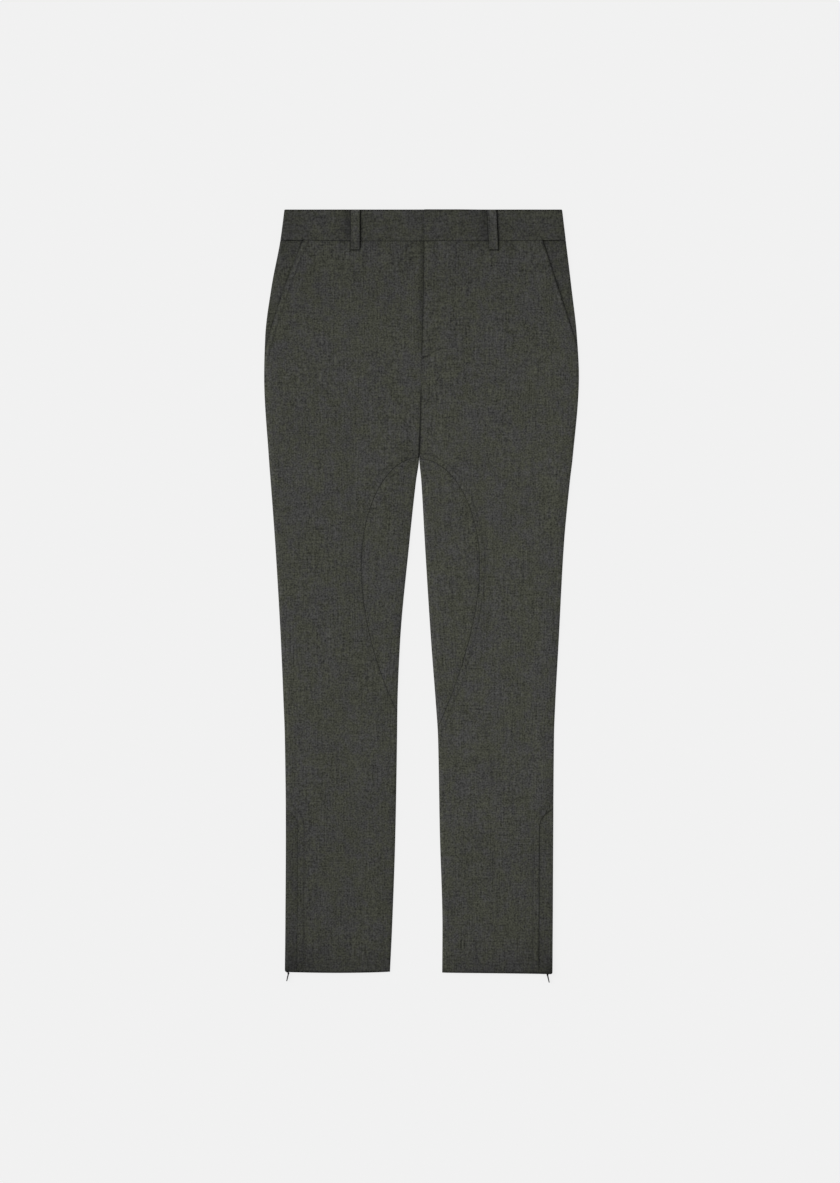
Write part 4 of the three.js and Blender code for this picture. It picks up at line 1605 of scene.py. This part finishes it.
    def back(self) -> bpy.types.Object:
        """The back panel, which lies on the surface."""
        side = self.side
        outer_form = forms((0, FOLD_BACK), (STRIP_TOP, FREE), blur=30)
        inner_form = forms((0, SEAM), (CROTCH, FOLD_BACK))
        steps = (*EDGE_STEPS, 6.5, 9.0, 12.0, 17.0)
        panel = self.panel(
            "back",
            side.inner,
            side.outer,
            (inner_form, outer_form),
            start=BAND_DEPTH + SEAM_GAP,
            end=HEM,
            under=lambda x, drop: self.lay.back_under(drop) + self.lay.back_soft(side, x, drop),
            low_steps=steps,
            high_steps=steps,
            middle=22,
            step=4.5,
            furrows=(Furrow(self.lines.hem, 0.26, 1.1),),
            marks=tuple(HEM - HEM_STITCH + d for d in (-1.8, -1.2, -0.6, 0, 0.6, 1.2, 1.8)),
            relief_below=True,
            gap=0.0,
            turn_up=self.turn_up,
        )
        material = self.cloth.make(f"suiting_back_{side.name}", (-37 * side.sign, 203), -0.5)
        return panel.sew_in(self.lay, material, f"back_panel_{side.name}", ["floor"])


@dataclass
class Waistband:
    """Half of the waistband: from the centre back, round the side, to the closure at the front."""

    side: Side
    lay: Lay
    cloth: Suiting = field(default_factory=Suiting)
    turn_steps: int = 16
    step: float = 1.0

    @property
    def fold(self) -> float:
        """Outer radius of the fold at the side."""
        return BAND_WALL + LAYER_GAP / 2

    @property
    def underlap(self) -> float:
        """How far the band runs past the closure, under the other half."""
        return SEAM_GAP if self.side.laps else BAND_UNDERLAP

    def girth(self, drop: Array) -> tuple[Array, Array, Array, Array]:
        """The band's section at each drop, as a grid of rows by places along the girth.

        Args:
            drop: the rows' drops.

        Returns:
            x and height of the inside, then x and height of the outside.
        """
        sign = self.side.sign
        steps = np.array((0, 0.12, 0.3, 0.6, 1.0, 1.6, 2.6, 4.2))
        edge = self.side.outer(drop)[:, None] - sign * self.fold
        centre_back = sign * SEAM_GAP / 2
        closure = self.side.inner(drop)[:, None] + self.underlap
        even = np.linspace(0, 1, round(190 / self.step))[1:]
        back = np.concatenate([steps / 190, blend(steps[-1] / 190, 1, even)])
        front = 1 - back[::-1]
        angle = np.linspace(0, math.pi, self.turn_steps + 1)[1:-1]
        middle = BACK_LIFT + self.fold

        def run(radius: float) -> tuple[Array, Array]:
            """x and height of one face of the band, from the centre back to the closure."""
            flat_back = blend(centre_back, edge, back)
            round_side = edge + sign * radius * np.sin(angle)
            flat_front = blend(edge, closure, front)
            x = np.concatenate([flat_back, round_side, flat_front], axis=1)
            down, up = np.full(flat_back.shape, middle - radius), np.full(flat_front.shape, middle + radius)
            turn = np.repeat((middle - radius * np.cos(angle))[None], len(drop), axis=0)
            if self.side.laps:
                up = up + self.lay.lap(flat_front, BAND_DEPTH)
            soft = 0.16 * self.lay.handled(flat_front, 30.0) * fade(np.abs(flat_front - edge), 0, 25)
            return x, np.concatenate([down, turn, up + soft], axis=1)

        inside_x, inside_z = run(LAYER_GAP / 2)
        outside_x, outside_z = run(self.fold)
        return inside_x, inside_z, outside_x, outside_z

    def build(self) -> bpy.types.Object:
        """The half band as a closed wall with soft edges."""
        near = (0, 0.1, 0.25, 0.5, 0.8, 1.2, 1.8, 3.0)
        drops = np.unique([*near, *np.linspace(4, BAND_DEPTH - 4, 10), *(BAND_DEPTH - n for n in near)])
        inside_x, inside_z, outside_x, outside_z = self.girth(drops)
        rows = drops[:, None]
        along = np.abs(outside_x - (self.side.inner(drops)[:, None] + self.underlap))
        at_front = np.cumsum(np.ones(inside_x.shape), axis=1) > inside_x.shape[1] / 2
        turn = 0.44 * (1 - rolled(rows, 1.0)) + 0.3 * (1 - rolled(BAND_DEPTH - rows, 0.8))
        turn = np.maximum(turn, 0.42 * (1 - rolled(along, 1.0)) * at_front)
        back_end = np.abs(outside_x - self.side.sign * SEAM_GAP / 2)
        turn = np.maximum(turn, 0.3 * (1 - rolled(back_end, 0.7)) * ~at_front)
        over_x = blend(outside_x, inside_x, turn)
        over = self.lay.place(over_x, rows, blend(outside_z, inside_z, turn))
        under = self.lay.place(blend(inside_x, outside_x, turn), rows, blend(inside_z, outside_z, turn))
        # Painted shading of the front along the front half, and of the back along the back half.
        tone = np.where(at_front, self.lay.front_tone(over_x, rows), self.lay.back_tone(over_x, rows))
        material = self.cloth.make(
            f"suiting_waistband_{self.side.name}", (61, 19 * self.side.sign), 90, 1, 0.75
        )
        piece = cloth_wall(f"band_{self.side.name}", over, under, material, tone)
        hand_in(piece, Slot.SUITING, f"waistband_{self.side.name}")
        girth = abs(float(self.side.outer(BAND_DEPTH))) * 2 + self.underlap + math.pi * self.fold / 2
        declare(piece, BAND_DEPTH, girth, [f"back_{self.side.name}"])
        return piece


@dataclass
class BeltLoop:
    """A belt loop: a folded strip of the suiting, sewn down at its two ends."""

    name: str
    node: str
    centre: float
    lean: float
    profile: tuple[tuple[float, float], ...]
    lay: Lay
    cloth: Suiting = field(default_factory=Suiting)

    @staticmethod
    def on_front(side: Side, lay: Lay) -> "BeltLoop":
        """The front loop of one side, standing a little proud of the waistband between its ends."""
        end = BAND_DEPTH + LOOP_BELOW
        x = side.loop_centre + side.loop_lean + np.linspace(-LOOP_WIDTH / 2, LOOP_WIDTH / 2, 7)
        panel = lay.front_under(side, x[:, None], np.linspace(BAND_DEPTH + 0.5, end, 9))
        foot = float(panel.max()) + CLOTH + LAYER_GAP
        rise = float(lay.lap(x, BAND_DEPTH).max()) if side.laps else 0
        band = BACK_LIFT + 2 * BAND_WALL + 2 * LAYER_GAP + rise
        rows = (
            (LOOP_TOP, band),
            (4, band + 0.1),
            (8, band + 0.6 * LOOP_STAND),
            (14, band + LOOP_STAND),
            (34, band + LOOP_STAND),
            (40, band + 0.75 * LOOP_STAND),
            (BAND_DEPTH + 2, max(band + 0.5, foot + 0.4)),
            (end - 6, foot + 0.15),
            (end, foot),
        )
        names = f"loop_front_{side.name}", f"belt_loop_front_{side.name}"
        return BeltLoop(*names, side.loop_centre, side.loop_lean, rows, lay)

    @staticmethod
    def on_back(name: str, centre: float, lay: Lay) -> "BeltLoop":
        """A back loop, pressed flat under the waistband."""
        rows = ((LOOP_TOP, 0.0), (BAND_DEPTH, 0.0), (BAND_DEPTH + LOOP_BELOW, 0.0))
        return BeltLoop(f"loop_back_{name}", f"belt_loop_back_{name}", centre, 0, rows, lay)

    def build(self) -> bpy.types.Object:
        """The loop as a closed wall with soft edges."""
        start, end = self.profile[0][0], self.profile[-1][0]
        near = (0, 0.1, 0.25, 0.45, 0.7, 1.0, 1.5)
        drops = np.unique(
            [*(start + n for n in near), *np.arange(start + 2.2, end - 2, 0.9), *(end - n for n in near)]
        )
        low = np.array((0, 0.08, 0.2, 0.4, 0.65, 1.0, 1.6, 2.6))
        across = np.concatenate([low, np.linspace(3.6, LOOP_WIDTH - 3.6, 7), LOOP_WIDTH - low[::-1]])
        rows, columns = np.meshgrid(drops, across, indexing="ij")
        x = self.centre + self.lean * rows / end + columns - LOOP_WIDTH / 2
        height = Run([d for d, _ in self.profile], [z for _, z in self.profile])(rows)
        from_side = np.minimum(columns, LOOP_WIDTH - columns)
        turn = 0.44 * np.maximum(
            1 - rolled(from_side, 0.6), np.maximum(1 - rolled(rows - start, 0.6), 1 - rolled(end - rows, 0.6))
        )
        welt = 0.14 * bell(from_side - 1.4, 0.9) - 0.1 * bell(columns - LOOP_WIDTH / 2, 2.2)
        shown = 1 if height.max() > 0 else 0
        over = height + LOOP_WALL * (1 - turn) + welt * shown * (turn < 0.01)
        under = height + LOOP_WALL * turn + (1 - shown) * 0.26 * bell(rows - (end - LOOP_TACK), 1.5)
        # Painted shade: the loop a little darker overall, and darker along its edges.
        tone = 0.96 - 0.14 * bell(from_side, 0.9)
        material = self.cloth.make(f"suiting_{self.name}", (self.centre, 7), 2)
        piece = cloth_wall(self.name, self.placed(x, rows, over), self.placed(x, rows, under), material, tone)
        hand_in(piece, Slot.SUITING, self.node)
        declare(piece, LOOP_WIDTH, end - start, ["band_right" if self.centre < 0 else "band_left"])
        return piece

    def placed(self, x: Array, drop: Array, z: Array) -> Array:
        """Points of the loop in the row frame; it hangs straight from the waistband's top edge."""
        return np.stack([x * MM + self.lay.shift, self.lay.top - drop * MM, z * MM], axis=-1)

    def tack(self) -> Array:
        """The line of the bar tack that holds the loop's lower end, in the row frame."""
        drop = self.profile[-1][0] - LOOP_TACK
        x = self.centre + self.lean * drop / self.profile[-1][0] + np.linspace(-0.47, 0.47, 24) * LOOP_WIDTH
        return self.placed(x, np.full(x.shape, drop), np.zeros(x.shape))


@dataclass
class FlyShield:
    """The shield behind the fly, under both fronts."""

    lay: Lay
    cloth: Suiting = field(default_factory=Suiting)

    def under(self, x: Array, drop: Array) -> Array:
        """Its underside, between the backs and the fronts."""
        right = self.lay.facing_under(RIGHT, x, drop, SHIELD_CLEAR)
        left = self.lay.facing_under(LEFT, x, drop, SHIELD_CLEAR)
        return np.where(x < 0, right, left)

    def build(self) -> bpy.types.Object:
        """The shield as a closed, thin-walled piece."""
        panel = Panel(
            name="shield",
            low=lambda drop: INNER_RIGHT(drop) - FLY_BEHIND,
            high=lambda drop: INNER_RIGHT(drop) + FLY_REACH,
            start=BAND_DEPTH + 1,
            end=FLY_END,
            under=self.under,
            low_form=forms((0, HIDDEN)),
            high_form=forms((0, HIDDEN)),
            low_steps=(0, 0.4, 1.2, 3.0),
            high_steps=(0, 0.4, 1.2, 3.0),
            middle=8,
            step=6.0,
        )
        material = self.cloth.make("suiting_fly_shield", (3, -47), 0, 0.95)
        return panel.sew_in(self.lay, material, "fly_shield", ["back_left"])


# ---- Stitches and zip teeth -------------------------------------------------------------------------------


class Repeat:
    """Geometry nodes that set one small shape along drawn lines, at an even pitch."""

    def __init__(self, name: str, shape: Callable[[Bench], bpy.types.NodeSocket]) -> None:
        """Builds the tree.

        Args:
            name: the tree's name.
            shape: adds the nodes of the shape, of size 1, and gives its mesh.
        """
        self.tree = bpy.data.node_groups.new(name, "GeometryNodeTree")
        face = self.tree.interface
        face.new_socket("Lines", in_out="INPUT", socket_type="NodeSocketGeometry")
        face.new_socket("Pitch", in_out="INPUT", socket_type="NodeSocketFloat")
        face.new_socket("Size", in_out="INPUT", socket_type="NodeSocketVector")
        face.new_socket("Finish", in_out="INPUT", socket_type="NodeSocketMaterial")
        face.new_socket("Pieces", in_out="OUTPUT", socket_type="NodeSocketGeometry")
        bench = Bench(self.tree)
        given = bench.add("NodeGroupInput").outputs
        curve = bench.add("GeometryNodeMeshToCurve", {"Mesh": given["Lines"]})
        points = bench.add(
            "GeometryNodeCurveToPoints", {"Curve": curve.outputs[0], "Length": given["Pitch"]}, mode="LENGTH"
        )
        turned = bench.add(
            "FunctionNodeAlignRotationToVector", {"Vector": points.outputs["Tangent"]}, axis="X"
        )
        placed = bench.add(
            "GeometryNodeInstanceOnPoints",
            {
                "Points": points.outputs["Points"],
                "Instance": shape(bench),
                "Rotation": turned.outputs[0],
                "Scale": given["Size"],
            },
        )
        real = bench.add("GeometryNodeRealizeInstances", {"Geometry": placed.outputs[0]})
        dressed = bench.add(
            "GeometryNodeSetMaterial", {"Geometry": real.outputs[0], "Material": given["Finish"]}
        )
        bench.add("NodeGroupOutput", {"Pieces": dressed.outputs[0]})

    def along(
        self, name: str, lines: Sequence[Array], pitch: float, size: Colour, finish: bpy.types.Material
    ) -> bpy.types.Object:
        """The shape set along lines, as a plain mesh.

        Args:
            name: the new piece's name.
            lines: each line's points, in the row frame.
            pitch: from one shape to the next, in millimetres.
            size: the shape's size along the line, across it and upwards, in millimetres.
            finish: its material.

        Returns:
            The piece.
        """
        mesh = bpy.data.meshes.new(f"{name}_lines")
        starts = np.cumsum([0, *(len(line) for line in lines)])
        edges = [(k, k + 1) for a, b in zip(starts[:-1], starts[1:], strict=True) for k in range(a, b - 1)]
        mesh.from_pydata([tuple(map(float, p)) for line in lines for p in line], edges, [])
        drawn = bpy.data.objects.new(f"{name}_lines", mesh)
        bpy.context.scene.collection.objects.link(drawn)
        modifier = drawn.modifiers.new("repeat", "NODES")
        modifier.node_group = self.tree
        given = {"Pitch": pitch * MM, "Size": [s * MM for s in size], "Finish": finish}
        for item in self.tree.interface.items_tree:
            if item.in_out == "INPUT" and item.name in given:
                modifier[item.identifier] = given[item.name]
        bpy.context.view_layer.update()
        ready = drawn.evaluated_get(bpy.context.evaluated_depsgraph_get())
        made = bpy.data.meshes.new_from_object(ready)
        bpy.data.objects.remove(drawn)
        bpy.data.meshes.remove(mesh)
        made.name = name
        made.polygons.foreach_set("use_smooth", np.ones(len(made.polygons), bool))
        piece = bpy.data.objects.new(name, made)
        bpy.context.scene.collection.objects.link(piece)
        return piece


def thread_shape(bench: Bench) -> bpy.types.NodeSocket:
    """One stitch: a short rounded length of thread."""
    return bench.add("GeometryNodeMeshUVSphere", {"Segments": 8, "Rings": 5, "Radius": 1.0}).outputs["Mesh"]


def tooth_shape(bench: Bench) -> bpy.types.NodeSocket:
    """One zip tooth: a short upright bar of the coil."""
    made = bench.add(
        "GeometryNodeMeshCylinder", {"Vertices": 8, "Side Segments": 1, "Radius": 1.0, "Depth": 2.0}
    )
    return made.outputs["Mesh"]


@dataclass(frozen=True)
class Sewing:
    """Lays lines of stitches on finished pieces."""

    lay: Lay
    pitch: float = 3.0
    stitch: float = 2.3
    thickness: float = 0.19
    tack_pitch: float = 0.42
    tack_width: float = 1.9

    def rest(self, path: Path, on: bpy.types.Object, below: bool = False) -> Array:
        """A stitch line laid on a piece.

        Args:
            path: the line on the pattern.
            on: the piece.
            below: whether it lies on the piece's underside.

        Returns:
            Its points in the row frame.
        """
        x, drop = path.places.T
        return self.touch(self.lay.place(x, drop, np.zeros(len(x))), on, below)

    @staticmethod
    def touch(points: Array, on: bpy.types.Object, below: bool = False) -> Array:
        """The points moved straight down, or up from below, onto a piece; those that miss it are left out."""
        start, way = (-0.05, 1.0) if below else (0.05, -1.0)
        found = []
        for point in points:
            hit, place, _, _ = on.ray_cast(Vector((*point[:2], start)), Vector((0, 0, way)))
            if hit:
                found.append(tuple(place))
        return np.array(found).reshape(-1, 3)


# ---- The whole garment ------------------------------------------------------------------------------------


@dataclass
class AnkleZip:
    """The closed ankle zip of one side: its two tapes, its teeth, its slider and its pull."""

    side: Side
    lay: Lay
    tape: bpy.types.Material
    metal: bpy.types.Material
    tape_wall: float = 0.7
    tooth_pitch: float = 1.25

    def tapes(self) -> bpy.types.Object:
        """The two tapes, one on the other, between the strip and the back."""
        side, sign = self.side, self.side.sign
        drops = np.linspace(ZIP_TOP, HEM - SLIDER_LENGTH - LAYER_GAP, 72)
        across = np.array((0, 0.1, 0.3, 0.8, 2, 4, 6, 8, 10, 11.2, 11.7, 11.9, ZIP_TAPE))
        rows, columns = np.meshgrid(drops, across, indexing="ij")
        x = side.outer(rows) - sign * (ZIP_RECESS + columns)
        room = self.lay.front_under(side, x, np.minimum(rows, SLIDER_RISE[0])) - LAYER_GAP
        floor = self.lay.back_top(rows) + LAYER_GAP
        soft = 0.25 * (1 - rolled(np.minimum(columns, ZIP_TAPE - columns), 0.4))
        points, faces = [], []
        for low in (floor, room - self.tape_wall):
            first = sum(len(p) for p in points)
            over, under = low + self.tape_wall - soft, low + soft
            shell = np.concatenate([self.lay.place(x, rows, z).reshape(-1, 3) for z in (over, under)])
            found = facing_out(shell, wall_faces(*x.shape))
            faces += [group + first for group in found]
            points.append(shell)
        mesh = make_mesh(f"zip_tape_{side.name}", np.concatenate(points), faces)
        piece = add_object(mesh.name, mesh, self.tape)
        return hand_in(piece, Slot.ZIP_TAPE, f"ankle_zip_tape_{side.name}")

    def teeth(self, repeat: Repeat) -> bpy.types.Object:
        """The zip's teeth, along the tapes' outer edge."""
        side = self.side
        drops = np.linspace(ZIP_TOP + 2, HEM - SLIDER_LENGTH - 1, 60)
        x = side.outer(drops) - side.sign * (ZIP_RECESS - 0.3)
        low = self.lay.back_top(drops) + LAYER_GAP
        high = self.lay.front_under(side, x, np.minimum(drops, SLIDER_RISE[0])) - LAYER_GAP
        line = self.lay.place(x, drops, (low + high) / 2)
        size = (0.42, 1.1, float((high - low).min()) / 2 - 0.15)
        piece = repeat.along(f"zip_teeth_{side.name}", [line], self.tooth_pitch, size, self.metal)
        return hand_in(piece, Slot.GUNMETAL)

    def from_solid(self, node: str, name: str, body: Body, bevel: float) -> bpy.types.Object:
        """A hard piece made from its solid, with softened edges.

        Args:
            node: the CAD node.
            name: the new piece's name.
            body: the body that it rides on.
            bevel: width of the softened edges, in millimetres.

        Returns:
            The piece.
        """
        work = bmesh.new()
        work.from_mesh(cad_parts[node].data)
        bmesh.ops.remove_doubles(work, verts=work.verts, dist=1e-6)
        bmesh.ops.recalc_face_normals(work, faces=work.faces)
        bmesh.ops.dissolve_limit(work, angle_limit=math.radians(1), verts=work.verts, edges=work.edges)
        sharp = [e for e in work.edges if len(e.link_faces) == 2 and e.calc_face_angle() > math.radians(40)]
        rounding = {
            "offset_type": "OFFSET",
            "segments": 2,
            "profile": 0.5,
            "affect": "EDGES",
            "clamp_overlap": True,
        }
        bmesh.ops.bevel(work, geom=sharp, offset=bevel * MM, **rounding)
        mesh = bpy.data.meshes.new(name)
        work.to_mesh(mesh)
        work.free()
        mesh.polygons.foreach_set("use_smooth", np.ones(len(mesh.polygons), bool))
        mesh.set_sharp_from_angle(angle=math.radians(50))
        return hand_in(add_object(name, mesh, self.metal), Slot.GUNMETAL, node, body=body)

    def build(self, repeat: Repeat) -> None:
        """All of the zip's pieces."""
        side = self.side
        tapes = self.tapes()
        teeth = self.teeth(repeat)
        length = HEM - SLIDER_LENGTH - LAYER_GAP - ZIP_TOP
        declare(tapes, 2 * ZIP_TAPE, length, [f"back_{side.name}"], [teeth.name])
        self.from_solid(f"zip_slider_{side.name}", f"slider_{side.name}", Body.TROUSERS, 0.22)
        pull = Body.PULL_LEFT if side.sign > 0 else Body.PULL_RIGHT
        self.from_solid(f"zip_pull_{side.name}", f"pull_{side.name}", pull, 0.2)


@dataclass
class Studio:
    """A plain pale floor, soft light from the upper left, and the camera straight above."""

    distance: float = 3.815
    lens: float = 85
    aim: tuple[float, float] = (-0.0021, 0.0064)
    floor_size: float = 90
    floor_drop: float = 0.0004
    floor_colour: float = 0.06
    floor_glow: float = 0.818
    sky: float = 0.52
    sun: float = 2.35
    sun_from: Colour = (-0.75, 0.45, 0.85)
    sun_width: float = 50

    def floor(self) -> None:
        """The floor, just below the cloth."""
        half = self.floor_size / 2
        mesh = bpy.data.meshes.new("floor")
        corners = [(x * half, y * half, -self.floor_drop) for x, y in ((-1, -1), (1, -1), (1, 1), (-1, 1))]
        mesh.from_pydata(corners, [], [(0, 1, 2, 3)])
        material, bench = new_material("pale_floor")
        bench.surface(
            Base_Color=(*[self.floor_colour] * 3, 1),
            Roughness=1.0,
            Specular_IOR_Level=0.0,
            Emission_Color=(1, 1, 1, 1),
            Emission_Strength=self.floor_glow,
        )
        add_object("floor", mesh, material)

    def light(self) -> None:
        """An even sky and one broad, soft sun."""
        scene = bpy.context.scene
        scene.world = bpy.data.worlds.new("studio")
        scene.world.use_nodes = True
        background = scene.world.node_tree.nodes["Background"]
        background.inputs["Color"].default_value = (1, 1, 1, 1)
        background.inputs["Strength"].default_value = self.sky
        lamp = bpy.data.lights.new("soft_sun", "SUN")
        lamp.energy, lamp.angle = self.sun, math.radians(self.sun_width)
        stand = bpy.data.objects.new("soft_sun", lamp)
        stand.rotation_mode = "QUATERNION"
        stand.rotation_quaternion = Vector(self.sun_from).to_track_quat("Z", "Y")
        scene.collection.objects.link(stand)

    def camera(self) -> None:
        """The camera, looking straight down with the waistband at the top."""
        scene = bpy.context.scene
        lens = bpy.data.cameras.new("camera")
        lens.lens, lens.sensor_width = self.lens, 36
        lens.clip_start, lens.clip_end = 0.1, 50
        stand = bpy.data.objects.new("camera", lens)
        stand.location = (*self.aim, self.distance)
        scene.collection.objects.link(stand)
        scene.camera = stand

    def build(self) -> None:
        """Everything around the garment."""
        self.floor()
        self.light()
        self.camera()
        bpy.context.scene.view_settings.view_transform = "Standard"


@dataclass
class Trousers:
    """The whole garment, piece by piece."""

    lay: Lay

    def sew(
        self,
        legs: Sequence[Leg],
        fronts: Sequence[bpy.types.Object],
        backs: Sequence[bpy.types.Object],
        strips: Sequence[bpy.types.Object],
        loops: Sequence[tuple[BeltLoop, bpy.types.Object]],
        thread: bpy.types.Material,
    ) -> None:
        """The stitches that show.

        Args:
            legs: the two legs.
            fronts: their front panels.
            backs: their back panels.
            strips: their ankle strips.
            loops: the belt loops, with their pieces.
            thread: the thread.
        """
        sewing, stitch = Sewing(self.lay), Repeat("stitches", thread_shape)
        run = (sewing.stitch / 2, sewing.thickness, sewing.thickness)
        tack = (sewing.thickness, sewing.tack_width / 2, sewing.thickness)
        tacks = []
        for leg, front, back, strip in zip(legs, fronts, backs, strips, strict=True):
            name = leg.side.name
            paths = [leg.lines.pocket_stitch, leg.lines.inset_stitch, leg.lines.strip_stitch]
            lines = [sewing.rest(path, front) for path in paths]
            for piece in (front, strip):
                lines.append(sewing.rest(leg.lines.hem, piece))
            if leg.side.laps:
                lines.append(sewing.rest(leg.lines.fly_hook, front))
            long_enough = [line for line in lines if len(line) > 3]
            made = stitch.along(f"stitches_front_{name}", long_enough, sewing.pitch, run, thread)
            hand_in(made, Slot.SUITING)
            under = [sewing.rest(leg.lines.hem, back, below=True)]
            hand_in(stitch.along(f"stitches_hem_back_{name}", under, sewing.pitch, run, thread), Slot.SUITING)
            drop = BAND_DEPTH + 7.5
            mouth = float(leg.side.pocket_line(drop))
            xs = mouth - leg.side.sign * np.linspace(0.6, POCKET_STITCH + 0.4, 16)
            tacks.append(sewing.rest(Path(np.stack([xs, np.full(16, drop)], axis=1)), front))
        for loop, piece in loops:
            tacks.append(sewing.touch(loop.tack(), piece, below=loop.profile[-1][1] == 0))
        long_enough = [line for line in tacks if len(line) > 3]
        made = stitch.along("bar_tacks", long_enough, sewing.tack_pitch, tack, thread)
        hand_in(made, Slot.SUITING)

    def build(self) -> None:
        """Makes every piece, from the surface up."""
        thread = Thread().make("thread")
        tape, metal = ZipTape().make("zip_tape"), Gunmetal().make("gunmetal")
        teeth = Repeat("zip_teeth", tooth_shape)
        legs = [Leg(side, self.lay) for side in (RIGHT, LEFT)]
        backs = [leg.back() for leg in legs]
        FlyShield(self.lay).build()
        for leg in legs:
            leg.hip_piece()
            AnkleZip(leg.side, self.lay, tape, metal).build(teeth)
            leg.inset_panel()
        strips = [leg.ankle_strip() for leg in legs]
        fronts = [leg.front() for leg in legs]
        for side in (RIGHT, LEFT):
            Waistband(side, self.lay).build()
        loops = [BeltLoop.on_front(side, self.lay) for side in (RIGHT, LEFT)]
        loops += [BeltLoop.on_back(name, x, self.lay) for name, x in BACK_LOOPS.items()]
        self.sew(legs, fronts, backs, strips, [(loop, loop.build()) for loop in loops], thread)


def main() -> None:
    """Builds the trousers and their surroundings."""
    logging.basicConfig(level=logging.INFO, format="%(message)s")
    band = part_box("waistband_left")[1]
    shift = band.x - float(LEFT.outer(BAND_DEPTH)) * MM
    Trousers(Lay(band.y, shift, front_shadows(), back_shadows())).build()
    Studio().build()


if __name__ == "__main__":
    main()
